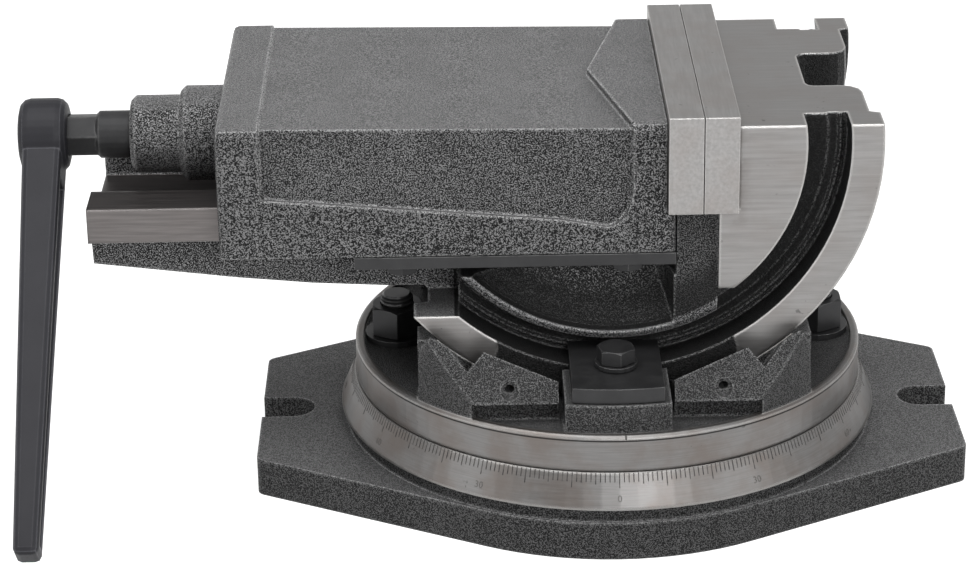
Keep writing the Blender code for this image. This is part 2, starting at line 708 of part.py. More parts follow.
def swivel_table():
    table = turned("swivel_table", [
        (0, TABLE_FLOOR),
        (TABLE_RADIUS - TABLE_RIM_WIDTH, TABLE_FLOOR),
        (TABLE_RADIUS - TABLE_RIM_WIDTH, RIM_TOP),
        (TABLE_RADIUS - TABLE_RIM_EDGE, RIM_TOP),
        (TABLE_RADIUS, RIM_TOP - TABLE_RIM_EDGE),
        (TABLE_RADIUS, TABLE_BOTTOM),
        (0, TABLE_BOTTOM),
    ], "Z", (0, 0, 0), PAINT, LARGE_SEGMENTS)
    rounding = rod("lug_rounding", "Z", (0, 0, 0), LUG_ROUND_RADIUS,
                   (TABLE_BOTTOM - OVERRUN, AXIS_Z), segments=LARGE_SEGMENTS)
    half = PAD_WIDTH / 2
    start = math.degrees(math.asin(half / PAD_FRONT_RADIUS))
    front = arc((0, 0), PAD_FRONT_RADIUS, 90 + start, 90 - start, 8)
    back = CASTING_HALF + PAD_BACK_CLEARANCE
    for side, where in SIDES:
        for hand, end in ENDS:
            seat, wall = lug("lug_%s_%s" % (where, end), hand, side)
            boolean(wall, rounding, "INTERSECT")
            fuse(table, seat, wall)
        points = [(x, side * y) for x, y in [(-half, back)] + front + [(half, back)]]
        fuse(table, outline("pad_" + where, points, PAD_TOP - TABLE_MIDDLE,
                            plan_view((PAD_TOP + TABLE_MIDDLE) / 2)))
    cut(table, rod("cradle_seat", "Y", (0, 0, AXIS_Z), TILT_RADIUS + GAP,
                   (-CASTING_HALF - GAP, CASTING_HALF + GAP), segments=LARGE_SEGMENTS))
    for side, where in SIDES:
        cut(table, rod("clamp_thread_" + where, "Z", (0, side * CLAMP_BOLT_Y, 0),
                       (CLAMP_BOLT_DIAMETER + HOLE_CLEARANCE) / 2,
                       (PAD_TOP - CLAMP_BOLT_REACH, PAD_TOP + OVERRUN)))
    for hand, end in ENDS:
        cut(table, rod("swivel_hole_" + end, "Z", (hand * TEE_CIRCLE_RADIUS, 0, 0),
                       (SWIVEL_BOLT_DIAMETER + HOLE_CLEARANCE) / 2,
                       (TABLE_BOTTOM - OVERRUN, TABLE_FLOOR + OVERRUN)))
    cut(table,
        rod("pivot_hole", "Z", (0, 0, 0), PIVOT_DIAMETER / 2 + GAP,
            (TABLE_BOTTOM - OVERRUN, TABLE_FLOOR + 2 * OVERRUN), segments=MEDIUM_SEGMENTS),
        rod("pivot_head_seat", "Z", (0, 0, 0), PIVOT_HEAD_DIAMETER / 2 + GAP,
            (TABLE_FLOOR - PIVOT_HEAD_HEIGHT - GAP, TABLE_FLOOR + OVERRUN), segments=MEDIUM_SEGMENTS))
    return table


def swivel_bolt(end, hand):
    """Square-headed bolt whose head runs in the circular T-slot."""
    x = hand * TEE_CIRCLE_RADIUS
    head_top = TEE_LIP_Z - GAP
    head_low = TEE_LIP_Z - TEE_HEAD_HEIGHT + GAP
    radius = SWIVEL_BOLT_DIAMETER / 2
    tip = SWIVEL_NUT_BOTTOM + SWIVEL_NUT_HEIGHT + SWIVEL_BOLT_SHOW
    half = SWIVEL_BOLT_HEAD / 2
    bolt = block("swivel_bolt_" + end, (x - half, x + half), (-half, half), (head_low, head_top),
                 BLACK_STEEL)
    fuse(bolt, turned("swivel_bolt_shank_" + end, [
        (0, tip),
        (radius - THREAD_POINT, tip),
        (radius, tip - THREAD_POINT),
        (radius, (head_low + head_top) / 2),
        (0, (head_low + head_top) / 2),
    ], "Z", (x, 0, 0), segments=SMALL_SEGMENTS))
    return bolt


def washer(name, x, y, bore, diameter, low, thickness):
    high = low + thickness
    return turned(name, [(diameter / 2, high), (diameter / 2, low), (bore / 2, low), (bore / 2, high)],
                  "Z", (x, y, 0), BLACK_STEEL, SMALL_SEGMENTS, closed=True)


def hex_cone(name, centre, across_flats, low, high, upwards):
    """The turned shape that chamfers a hexagon's corners at one end."""
    corner = corner_radius(across_flats)
    wide = corner + across_flats / 2
    flat = across_flats / 2
    fall = (wide - flat) * math.tan(math.radians(30))
    if upwards:
        profile = [(0, high), (flat, high), (wide, high - fall), (wide, low - fall), (0, low - fall)]
    else:
        profile = [(0, high + fall), (wide, high + fall), (wide, low + fall), (flat, low), (0, low)]
    return turned(name, profile, "Z", centre, segments=SCREW_SEGMENTS)


def swivel_nut(end, hand):
    centre = (hand * TEE_CIRCLE_RADIUS, 0, 0)
    low = SWIVEL_NUT_BOTTOM
    high = low + SWIVEL_NUT_HEIGHT
    nut = hexagon("swivel_nut_" + end, "Z", centre, SWIVEL_NUT_ACROSS_FLATS, (low, high), BLACK_STEEL)
    boolean(nut, hex_cone("nut_cone_" + end, centre, SWIVEL_NUT_ACROSS_FLATS, low, high, True), "INTERSECT")
    cut(nut, rod("nut_bore_" + end, "Z", centre, SWIVEL_BOLT_DIAMETER / 2 + GAP,
                 (low - OVERRUN, high + OVERRUN)))
    return nut


def tilt_clamp(where, side):
    """Strap on the pad whose nose holds the arc flange down."""
    half = CLAMP_WIDTH / 2
    start = math.degrees(math.asin(half / CLAMP_FRONT_RADIUS))
    front = arc((0, 0), CLAMP_FRONT_RADIUS, 90 + start, 90 - start, 8)
    nose = WEB_HALF + CLAMP_NOSE_CLEARANCE
    points = [(x, side * y) for x, y in [(-half, nose)] + front + [(half, nose)]]
    clamp = outline("tilt_clamp_" + where, points, CLAMP_THICKNESS,
                    plan_view((CLAMP_BOTTOM + CLAMP_TOP) / 2), BLACK_STEEL)
    round_edges(clamp, CLAMP_EDGE, 1, 60)
    ring = turned("nose_arc_" + where, [
        (TILT_RADIUS, CASTING_HALF + GAP),
        (TILT_RADIUS, 0),
        (FLANGE_INNER_RADIUS - GAP, 0),
        (FLANGE_INNER_RADIUS - GAP, CASTING_HALF + GAP),
    ], "Y", (0, 0, AXIS_Z), segments=LARGE_SEGMENTS, closed=True)
    if side < 0:
        ring.matrix_world = ring.matrix_world @ Matrix.Rotation(math.radians(180), 4, "X")
    bore = rod("clamp_hole_" + where, "Z", (0, side * CLAMP_BOLT_Y, 0),
               (CLAMP_BOLT_DIAMETER + HOLE_CLEARANCE) / 2, (CLAMP_BOTTOM - OVERRUN, CLAMP_TOP + OVERRUN))
    cut(clamp, ring, bore)
    return clamp


def tilt_bolt(where, side):
    centre = (0, side * CLAMP_BOLT_Y, 0)
    low = CLAMP_HEAD_BOTTOM
    high = low + CLAMP_BOLT_HEAD
    bolt = hexagon("tilt_bolt_" + where, "Z", centre, CLAMP_BOLT_ACROSS_FLATS, (low, high), BLACK_STEEL,
                   CLAMP_BOLT_TURN)
    boolean(bolt, hex_cone("tilt_bolt_cone_" + where, centre, CLAMP_BOLT_ACROSS_FLATS, low, high, True),
            "INTERSECT")
    fuse(bolt, rod("tilt_bolt_shank_" + where, "Z", centre, CLAMP_BOLT_DIAMETER / 2,
                   (PAD_TOP - CLAMP_BOLT_REACH + GAP, (low + high) / 2)))
    return bolt


def mirrored(half_profile):
    """A profile listed from the top down, from the half that lies above the middle plane."""
    return half_profile + [(r, -h) for r, h in reversed(half_profile)]


def spool_profile():
    """Section of the tilting body: sector, stepped groove, flange and web on each side."""
    deep = WEB_HALF - GROOVE_STEP
    ridge = GROOVE_RIDGE_RADIUS
    half = MIDDLE_GAP_WIDTH / 2
    lip = MIDDLE_GAP_LIP_RADIUS
    root = MIDDLE_GAP_ROOT_RADIUS
    return mirrored([
        (0, CASTING_HALF),
        (SECTOR_RADIUS, CASTING_HALF),
        (SECTOR_RADIUS, WEB_HALF),
        (GROOVE_STEP_RADIUS, WEB_HALF),
        (GROOVE_STEP_RADIUS, deep),
        (ridge - GROOVE_RIDGE_WIDTH / 2, deep),
        (ridge, deep + GROOVE_RIDGE_HEIGHT),
        (ridge + GROOVE_RIDGE_WIDTH / 2, deep),
        (FLANGE_INNER_RADIUS, deep),
        (FLANGE_INNER_RADIUS, CASTING_HALF),
        (TILT_RADIUS, CASTING_HALF),
        (TILT_RADIUS, WEB_HALF),
        (WEB_RADIUS, WEB_HALF - WEB_DRAFT),
    ] + arc((WEB_RADIUS - lip, half + lip), lip, 0, -90, 3) + arc(
        (MIDDLE_GAP_RADIUS + root, half - root), root, 90, 180, 2))


def bulge_profile():
    """Section of the cast bulge below the slideways, with its rounded rim."""
    slant = BULGE_EDGE * (1 - math.sqrt(0.5))
    return mirrored([
        (0, CASTING_HALF),
        (BULGE_RADIUS - BULGE_EDGE, CASTING_HALF),
        (BULGE_RADIUS - BULGE_EDGE, CAST_HALF),
        (BULGE_RADIUS - slant, CAST_HALF - slant),
        (BULGE_RADIUS, CAST_HALF - BULGE_EDGE),
    ])


def dish(where, side):
    """Hollow in the bulge's side: deepest under the slideways, with a rounded right end."""
    outside = CASTING_HALF + OVERRUN
    depth = CAST_HALF - DISH_FLOOR_HALF
    hollow = turned("dish_" + where, [(0, outside), (DISH_RIM_RADIUS, outside)] + [
        (DISH_RIM_RADIUS * math.cos(a), CAST_HALF - depth * math.sin(a))
        for a in (math.radians(d) for d in range(0, 90, 10))
    ] + [(0, DISH_FLOOR_HALF)], "Y", (0, 0, AXIS_Z), segments=LARGE_SEGMENTS)
    if side < 0:
        hollow.matrix_world = hollow.matrix_world @ Matrix.Rotation(math.radians(180), 4, "X")
    r = DISH_CORNER_RADIUS
    plan = [(-TILT_RADIUS, outside + OVERRUN), (DISH_END_X, outside + OVERRUN)]
    plan += arc((DISH_END_X - r, CAST_HALF), r, 0, -90, 6) + [(-TILT_RADIUS, CAST_HALF - r)]
    low = AXIS_Z - TILT_RADIUS
    high = SECTOR_TOP + GAP
    boolean(hollow, outline("dish_plan_" + where, [(x, side * y) for x, y in plan], high - low,
                            plan_view((low + high) / 2)), "INTERSECT")
    return hollow


def beam():
    """Low body under the slideways, deepening towards the sector."""
    return outline("beam", [
        (BED_END_X, RAIL_BOTTOM + OVERRUN),
        (BED_END_X + BEAM_END_DRAFT, RAIL_TOP - BEAM_END_DEPTH),
        (BEAM_MIDDLE_X, RAIL_TOP - BEAM_MIDDLE_DEPTH),
        (BEAM_BELLY_X, RAIL_TOP - BEAM_BELLY_DEPTH),
        (BEAM_ROOT_X, RAIL_TOP - BEAM_ROOT_DEPTH),
        (0, RAIL_TOP - BEAM_ROOT_DEPTH),
        (GROUND_FACE_X, RAIL_BOTTOM + OVERRUN),
    ], 2 * BEAM_HALF_WIDTH, side_view(0))


def plate_screw_places():
    return (-PLATE_SCREW_SPACING / 2, PLATE_SCREW_SPACING / 2)


def nut_screw_places():
    middle = (NUT_POST_WIDTH / 2 + RAIL_INNER_Y - NUT_SIDE_CLEARANCE) / 2
    return (-middle, middle)


def tilt_body():
    """One casting: slideways, fixed jaw, sector and the two arc flanges that tilt in the cradle."""
    centre = (0, 0, AXIS_Z)
    far = TILT_RADIUS + OVERRUN
    wide = CASTING_HALF + OVERRUN
    body = turned("tilt_body", spool_profile(), "Y", centre, PAINT, LARGE_SEGMENTS)
    bulge = turned("bulge", bulge_profile(), "Y", centre, segments=LARGE_SEGMENTS)
    cut(bulge, block("bulge_limit", (BULGE_RIGHT_X, far), (-wide, wide), (AXIS_Z - far, AXIS_Z + far)))
    fuse(body, bulge)
    cut(body,
        block("above_top", (-far, far), (-wide, wide), (CASTING_TOP, AXIS_Z + far)),
        block("slide_space", (-far, FIXED_BLOCK_X), (-wide, wide), (SECTOR_TOP, CASTING_TOP + OVERRUN)))
    end_z = AXIS_Z - FLANGE_END_DROP
    for side, where in SIDES:
        cut(body, block("flange_end_" + where, (-far, -FLANGE_END_X),
                        (side * (BEAM_HALF_WIDTH - GAP), side * wide), (end_z, SECTOR_TOP + OVERRUN)))
        recess = rod("cast_recess_" + where, "Y", centre, CAST_RECESS_RADIUS,
                     (side * CAST_HALF, side * wide), segments=LARGE_SEGMENTS)
        cut(recess, block("ground_face_" + where, (GROUND_FACE_X, far),
                          (side * (CAST_HALF - OVERRUN), side * (wide + OVERRUN)),
                          (AXIS_Z - GROUND_FACE_DROP, AXIS_Z + far)))
        cut(body, recess, dish(where, side))
    fuse(body, beam(), block("rails", (BED_END_X, GROUND_FACE_X), (-RAIL_OUTER_Y, RAIL_OUTER_Y),
                             (RAIL_BOTTOM, RAIL_TOP)))
    cut(body,
        block("channel", (BED_END_X - OVERRUN, FIXED_BLOCK_X + GAP), (-RAIL_INNER_Y, RAIL_INNER_Y),
              (CHANNEL_FLOOR, RAIL_TOP + OVERRUN)),
        block("fixed_plate_seat", (FIXED_BLOCK_X - OVERRUN, FIXED_SEAT_X), (-wide, wide),
              (PLATE_BOTTOM - GAP, CASTING_TOP + OVERRUN)))
    for number, y in enumerate(plate_screw_places(), 1):
        cut(body, rod("fixed_thread_%d" % number, "X", (0, y, PLATE_MIDDLE),
                      (PLATE_SCREW_DIAMETER + HOLE_CLEARANCE) / 2,
                      (FIXED_SEAT_X - OVERRUN, FIXED_SEAT_X + PLATE_SCREW_REACH)))
    for number, y in enumerate(nut_screw_places(), 1):
        cut(body, rod("nut_thread_%d" % number, "Z", ((NUT_LEFT_X + NUT_RIGHT_X) / 2, y, 0),
                      (NUT_SCREW_DIAMETER + HOLE_CLEARANCE) / 2,
                      (CHANNEL_FLOOR - NUT_SCREW_REACH, CHANNEL_FLOOR + OVERRUN), segments=TINY_SEGMENTS))
    return body


def jaw_plate(name, face_x, back):
    """Ground plate; back is the direction from its clamping face to its seat."""
    seat_x = face_x + back * PLATE_THICKNESS
    plate = block(name, (face_x, seat_x), (-PLATE_WIDTH / 2, PLATE_WIDTH / 2), (PLATE_BOTTOM, PLATE_TOP),
                  GROUND_STEEL)
    round_edges(plate, PLATE_CHAMFER, 1)
    sunk = PLATE_SCREW_SINK + PLATE_SCREW_HEAD_HEIGHT + GAP
    for number, y in enumerate(plate_screw_places(), 1):
        centre = (0, y, PLATE_MIDDLE)
        front = face_x - back * OVERRUN
        cut(plate,
            rod("%s_hole_%d" % (name, number), "X", centre, (PLATE_SCREW_DIAMETER + HOLE_CLEARANCE) / 2,
                (front, seat_x + back * OVERRUN)),
            rod("%s_sink_%d" % (name, number), "X", centre,
                (PLATE_SCREW_HEAD_DIAMETER + HOLE_CLEARANCE) / 2, (front, face_x + back * sunk)))
    return plate


def plate_screw(name, number, face_x, back):
    """Socket-head screw sunk in a jaw plate, its head towards the clamping face."""
    centre = (0, plate_screw_places()[number - 1], PLATE_MIDDLE)
    outer = face_x + back * PLATE_SCREW_SINK
    inner = outer + back * PLATE_SCREW_HEAD_HEIGHT
    tip = face_x + back * (PLATE_THICKNESS + PLATE_SCREW_REACH)
    screw = rod(name, "X", centre, PLATE_SCREW_HEAD_DIAMETER / 2, (outer, inner), BLACK_STEEL)
    fuse(screw, rod(name + "_shank", "X", centre, PLATE_SCREW_DIAMETER / 2, ((outer + inner) / 2, tip)))
    depth = PLATE_SCREW_HEAD_HEIGHT * SOCKET_DEPTH_SHARE
    cut(screw, hexagon(name + "_socket", "X", centre, PLATE_SCREW_HEAD_DIAMETER * SOCKET_WIDTH_SHARE,
                       (outer - back * OVERRUN, outer + back * depth)))
    return screw


def screw_nut():
    """Bronze nut whose post stands in the jaw's hollow and whose foot is screwed to the bed."""
    x = (NUT_LEFT_X, NUT_RIGHT_X)
    foot = RAIL_INNER_Y - NUT_SIDE_CLEARANCE
    base_z = CHANNEL_FLOOR + GAP
    foot_top = base_z + NUT_FOOT_HEIGHT
    nut = outline("screw_nut", [
        (-foot, base_z), (foot, base_z), (foot, foot_top), (NUT_POST_WIDTH / 2, foot_top),
        (NUT_POST_WIDTH / 2, HOLLOW_TOP - GAP), (-NUT_POST_WIDTH / 2, HOLLOW_TOP - GAP),
        (-NUT_POST_WIDTH / 2, foot_top), (-foot, foot_top),
    ], NUT_LENGTH, end_view(sum(x) / 2), NUT_BRONZE)
    cut(nut, rod("nut_bore", "X", (0, 0, SCREW_Z), SCREW_DIAMETER / 2 + GAP,
                 (x[0] - OVERRUN, x[1] + OVERRUN), segments=SCREW_SEGMENTS))
    for number, y in enumerate(nut_screw_places(), 1):
        cut(nut, rod("nut_foot_hole_%d" % number, "Z", (sum(x) / 2, y, 0),
                     (NUT_SCREW_DIAMETER + HOLE_CLEARANCE) / 2, (base_z - OVERRUN, foot_top + OVERRUN),
                     segments=TINY_SEGMENTS))
    return nut


def nut_screw(number):
    centre = ((NUT_LEFT_X + NUT_RIGHT_X) / 2, nut_screw_places()[number - 1], 0)
    low = CHANNEL_FLOOR + GAP + NUT_FOOT_HEIGHT + GAP
    high = low + NUT_SCREW_HEAD_HEIGHT
    name = "nut_screw_%d" % number
    screw = rod(name, "Z", centre, NUT_SCREW_HEAD_DIAMETER / 2, (low, high), BLACK_STEEL)
    fuse(screw, rod(name + "_shank", "Z", centre, NUT_SCREW_DIAMETER / 2,
                    (CHANNEL_FLOOR - NUT_SCREW_REACH + GAP, (low + high) / 2), segments=TINY_SEGMENTS))
    cut(screw, hexagon(name + "_socket", "Z", centre, NUT_SCREW_HEAD_DIAMETER * SOCKET_WIDTH_SHARE,
                       (high - NUT_SCREW_HEAD_HEIGHT * SOCKET_DEPTH_SHARE, high + OVERRUN)))
    return screw


def side_panel():
    """Recessed side of the movable jaw: a sloping ridge below and a crease that bends at the head."""
    run = PANEL_EDGE_X - PANEL_CORNER_X
    rise = PANEL_CORNER_DROP - PANEL_BEND_DROP
    bend = [(PANEL_CORNER_X + run * math.sin(a), JAW_TOP - PANEL_CORNER_DROP + rise * (1 - math.cos(a)))
            for a in (math.radians(d) for d in range(0, 91, 18))]
    return [
        (HOLLOW_LEFT_X, JAW_TOP + OVERRUN),
        (HOLLOW_LEFT_X, JAW_TOP - PANEL_LEFT_DROP),
        (PANEL_RIDGE_X, JAW_TOP - PANEL_RIDGE_DROP),
    ] + bend + [(PANEL_EDGE_X, JAW_TOP + OVERRUN)]


def top_panel(wide):
    """Sloping recess in the jaw's top, ended by the head's arrow-shaped crease."""
    floor = outline("top_panel", [
        (HOLLOW_LEFT_X, JAW_TOP + OVERRUN),
        (HOLLOW_LEFT_X, JAW_TOP - PANEL_TOP_LEFT_STEP),
        (PANEL_EDGE_X + OVERRUN, JAW_TOP - PANEL_TOP_RIGHT_STEP),
        (PANEL_EDGE_X + OVERRUN, JAW_TOP + OVERRUN),
    ], 2 * wide, side_view(0))
    crease = outline("top_crease", [
        (HOLLOW_LEFT_X - OVERRUN, -wide - OVERRUN),
        (PANEL_EDGE_X, -wide - OVERRUN),
        (PANEL_EDGE_X, -CASTING_HALF),
        (PANEL_APEX_X, 0),
        (PANEL_EDGE_X, CASTING_HALF),
        (PANEL_EDGE_X, wide + OVERRUN),
        (HOLLOW_LEFT_X - OVERRUN, wide + OVERRUN),
    ], JAW_ROOF, plan_view(JAW_TOP))
    boolean(floor, crease, "INTERSECT")
    return floor


def gib_bolt_places():
    y = (RAIL_OUTER_Y + CASTING_HALF) / 2
    xs = (GIB_LEFT_X + GIB_BOLT_INSET, JAW_RIGHT_X - GIB_BOLT_INSET)
    return [(x, side * y) for side, _ in SIDES for x in xs]


def movable_jaw():
    """Long hollow casting that straddles the slideways, with its two bosses for the screw."""
    wide = CASTING_HALF + OVERRUN
    ways = RAIL_OUTER_Y + GAP
    jaw = block("movable_jaw", (JAW_LEFT_X, JAW_RIGHT_X), (-CASTING_HALF, CASTING_HALF),
                (RAIL_BOTTOM - OVERRUN, JAW_TOP), PAINT)
    round_edges(jaw, JAW_EDGE_RADIUS)
    cut(jaw,
        block("below_skirts", (JAW_LEFT_X - OVERRUN, JAW_RIGHT_X + OVERRUN), (-wide, wide),
              (RAIL_BOTTOM - 2 * OVERRUN, RAIL_BOTTOM)),
        block("ways_cut", (JAW_LEFT_X - OVERRUN, JAW_RIGHT_X + OVERRUN), (-ways, ways),
              (RAIL_BOTTOM - OVERRUN, RAIL_TOP + GAP)),
        block("hollow", (HOLLOW_LEFT_X, HOLLOW_RIGHT_X), (-RAIL_INNER_Y, RAIL_INNER_Y),
              (RAIL_BOTTOM, HOLLOW_TOP)),
        block("movable_plate_seat", (MOVABLE_SEAT_X, JAW_RIGHT_X + OVERRUN), (-wide, wide),
              (PLATE_BOTTOM - GAP, JAW_TOP + OVERRUN)),
        top_panel(wide))
    for side, where in SIDES:
        depth = PANEL_STEP + OVERRUN
        cut(jaw, outline("side_panel_" + where, side_panel(), depth,
                         side_view(side * (CASTING_HALF - PANEL_STEP + depth / 2))))
    big = BIG_BOSS_DIAMETER / 2
    small = SMALL_BOSS_DIAMETER / 2
    root = JAW_LEFT_X + JAW_EDGE_RADIUS
    fuse(jaw, turned("bosses", [
        (0, root), (big, root), (big, BIG_BOSS_X + BOSS_EDGE), (big - BOSS_EDGE, BIG_BOSS_X),
        (small, BIG_BOSS_X), (small, SMALL_BOSS_X + BOSS_EDGE), (small - BOSS_EDGE, SMALL_BOSS_X),
        (0, SMALL_BOSS_X),
    ], "X", (0, 0, SCREW_Z), segments=BOSS_SEGMENTS))
    cut(jaw,
        rod("journal_bore", "X", (0, 0, SCREW_Z), JOURNAL_DIAMETER / 2 + GAP,
            (SMALL_BOSS_X - OVERRUN, HOLLOW_LEFT_X + OVERRUN), segments=SCREW_SEGMENTS),
        rod("collar_seat", "X", (0, 0, SCREW_Z), COLLAR_DIAMETER / 2 + GAP,
            (COLLAR_LEFT_X - GAP, HOLLOW_LEFT_X + OVERRUN), segments=SCREW_SEGMENTS))
    for number, y in enumerate(plate_screw_places(), 1):
        cut(jaw, rod("movable_thread_%d" % number, "X", (0, y, PLATE_MIDDLE),
                     (PLATE_SCREW_DIAMETER + HOLE_CLEARANCE) / 2,
                     (MOVABLE_SEAT_X - PLATE_SCREW_REACH, MOVABLE_SEAT_X + OVERRUN)))
    for number, (x, y) in enumerate(gib_bolt_places(), 1):
        cut(jaw, rod("gib_thread_%d" % number, "Z", (x, y, 0), (GIB_BOLT_DIAMETER + HOLE_CLEARANCE) / 2,
                     (RAIL_BOTTOM - OVERRUN, RAIL_BOTTOM + GIB_BOLT_REACH), segments=TINY_SEGMENTS))
    return jaw


def gib_strip(where, side):
    """Keeper strip that reaches under a slideway, screwed to the jaw's skirt."""
    inner = BEAM_HALF_WIDTH + GIB_SIDE_CLEARANCE
    strip = block("gib_strip_" + where, (GIB_LEFT_X, JAW_RIGHT_X),
                  (side * inner, side * (CASTING_HALF + GIB_PROUD)), (GIB_BOTTOM, GIB_TOP), BLACK_STEEL)
    for number, (x, y) in enumerate(gib_bolt_places(), 1):
        if y * side > 0:
            cut(strip, rod("gib_hole_%d" % number, "Z", (x, y, 0),
                           (GIB_BOLT_DIAMETER + HOLE_CLEARANCE) / 2,
                           (GIB_BOTTOM - OVERRUN, GIB_TOP + OVERRUN), segments=TINY_SEGMENTS))
    return strip


def gib_bolt(number):
    x, y = gib_bolt_places()[number - 1]
    high = GIB_BOTTOM - GAP
    low = high - GIB_BOLT_HEAD
    name = "gib_bolt_%d" % number
    bolt = hexagon(name, "Z", (x, y, 0), GIB_BOLT_ACROSS_FLATS, (low, high), BLACK_STEEL)
    boolean(bolt, hex_cone(name + "_cone", (x, y, 0), GIB_BOLT_ACROSS_FLATS, low, high, False), "INTERSECT")
    fuse(bolt, rod(name + "_shank", "Z", (x, y, 0), GIB_BOLT_DIAMETER / 2,
                   ((low + high) / 2, RAIL_BOTTOM + GIB_BOLT_REACH - GAP), segments=TINY_SEGMENTS))
    return bolt


def lead_screw():
    """Screw held in the jaw between its shoulder and a pinned collar, with a hexagon for the crank."""
    thread = SCREW_DIAMETER / 2
    journal = JOURNAL_DIAMETER / 2
    shoulder = SHOULDER_DIAMETER / 2
    screw = turned("lead_screw", [
        (0, SCREW_TIP_X),
        (thread - THREAD_POINT, SCREW_TIP_X),
        (thread, SCREW_TIP_X - THREAD_POINT),
        (thread, COLLAR_RIGHT_X),
        (journal, COLLAR_RIGHT_X),
        (journal, SHOULDER_X),
        (shoulder, SHOULDER_X),
        (shoulder, HEX_X + THREAD_POINT),
        (shoulder - THREAD_POINT, HEX_X),
        (0, HEX_X),
    ], "X", (0, 0, SCREW_Z), SCREW_STEEL, SCREW_SEGMENTS)
    fuse(screw, hexagon("screw_hex", "X", (0, 0, SCREW_Z), HEX_ACROSS_FLATS,
                        (HUB_LEFT_X + HEX_SHORT, (HEX_X + SHOULDER_X) / 2), turn=ARM_SWING))
    cut(screw, rod("pin_hole", "Z", (COLLAR_X, 0, 0), COLLAR_PIN_DIAMETER / 2 + GAP,
                   (SCREW_Z - COLLAR_DIAMETER, SCREW_Z + COLLAR_DIAMETER), segments=TINY_SEGMENTS))
    return screw


def thrust_collar():
    """Ring pinned to the screw in the jaw's wall, which draws the jaw back."""
    outer = COLLAR_DIAMETER / 2
    inner = JOURNAL_DIAMETER / 2 + GAP
    collar = turned("thrust_collar", [
        (outer, COLLAR_RIGHT_X), (outer, COLLAR_LEFT_X), (inner, COLLAR_LEFT_X), (inner, COLLAR_RIGHT_X),
    ], "X", (0, 0, SCREW_Z), BLACK_STEEL, SCREW_SEGMENTS, closed=True)
    cut(collar, rod("collar_pin_hole", "Z", (COLLAR_X, 0, 0), COLLAR_PIN_DIAMETER / 2 + GAP,
                    (SCREW_Z - COLLAR_DIAMETER, SCREW_Z + COLLAR_DIAMETER), segments=TINY_SEGMENTS))
    return collar


def collar_pin():
    half = COLLAR_DIAMETER / 2 - GAP
    return rod("collar_pin", "Z", (COLLAR_X, 0, 0), COLLAR_PIN_DIAMETER / 2,
               (SCREW_Z - half, SCREW_Z + half), BLACK_STEEL, TINY_SEGMENTS)


def tapered_bar(name, root, tip, start, end):
    """A bar along -Z from start to end; root and tip are its thickness and width there."""
    bm = bmesh.new()
    bmesh.ops.create_cube(bm, size=1.0)
    for vert in bm.verts:
        thickness, width = tip if vert.co.z < 0 else root
        reach = end if vert.co.z < 0 else start
        vert.co = (vert.co.x * thickness, vert.co.y * width, -reach)
    return from_bmesh(bm, name)


def crank_handle():
    """Crank with a round hub, a hexagon socket and a tapered arm channelled along both flanks."""
    swing = Matrix.Translation((HUB_X, 0, SCREW_Z)) @ Matrix.Rotation(-ARM_SWING, 4, "X")
    half = HUB_LENGTH / 2
    radius = HUB_DIAMETER / 2
    edge = arc((radius - HUB_EDGE, half - HUB_EDGE), HUB_EDGE, 90, 0, 3)
    hub = turned("crank_handle", mirrored([(0, half)] + edge), "X", (HUB_X, 0, SCREW_Z), HANDLE_IRON,
                 BOSS_SEGMENTS)
    arm = tapered_bar("arm", (ARM_ROOT_THICKNESS, ARM_ROOT_WIDTH), (ARM_TIP_THICKNESS, ARM_TIP_WIDTH),
                      0, ARM_LENGTH)
    arm.matrix_world = swing
    round_edges(arm, ARM_EDGE)
    fuse(hub, arm)
    lean = math.atan2((ARM_ROOT_THICKNESS - ARM_TIP_THICKNESS) / 2, ARM_LENGTH)
    for hand, end in ENDS:
        channel = tapered_bar("arm_channel_" + end,
                              (2 * ARM_CHANNEL_DEPTH, ARM_ROOT_WIDTH - 2 * ARM_CHANNEL_MARGIN),
                              (2 * ARM_CHANNEL_DEPTH, ARM_TIP_WIDTH - 2 * ARM_CHANNEL_MARGIN),
                              ARM_CHANNEL_START, ARM_LENGTH - ARM_CHANNEL_MARGIN)
        channel.matrix_world = (swing @ Matrix.Translation((hand * ARM_ROOT_THICKNESS / 2, 0, 0))
                                @ Matrix.Rotation(hand * lean, 4, "Y"))
        cut(hub, channel)
    cut(hub, hexagon("hub_socket", "X", (0, 0, SCREW_Z), HEX_ACROSS_FLATS + HEX_SOCKET_CLEARANCE,
                     (HUB_LEFT_X - OVERRUN, HUB_RIGHT_X + OVERRUN), turn=ARM_SWING))
    return hub


def build_swivel(axis):
    hang(axis, swivel_table())
    for hand, end in ENDS:
        hang(axis, swivel_bolt(end, hand), swivel_nut(end, hand),
             washer("swivel_washer_" + end, hand * TEE_CIRCLE_RADIUS, 0,
                    SWIVEL_BOLT_DIAMETER + HOLE_CLEARANCE, SWIVEL_WASHER_DIAMETER, WASHER_BOTTOM,
                    SWIVEL_WASHER_THICKNESS))
    for side, where in SIDES:
        hang(axis, tilt_clamp(where, side), tilt_bolt(where, side),
             washer("tilt_washer_" + where, 0, side * CLAMP_BOLT_Y, CLAMP_BOLT_DIAMETER + HOLE_CLEARANCE,
                    CLAMP_WASHER_DIAMETER, CLAMP_TOP + GAP, CLAMP_WASHER_THICKNESS))


def build_tilting(axis):
    hang(axis, tilt_body(), screw_nut(), nut_screw(1), nut_screw(2),
         jaw_plate("fixed_jaw_plate", FIXED_FACE_X, 1))
    for number in (1, 2):
        hang(axis, plate_screw("fixed_plate_screw_%d" % number, number, FIXED_FACE_X, 1))


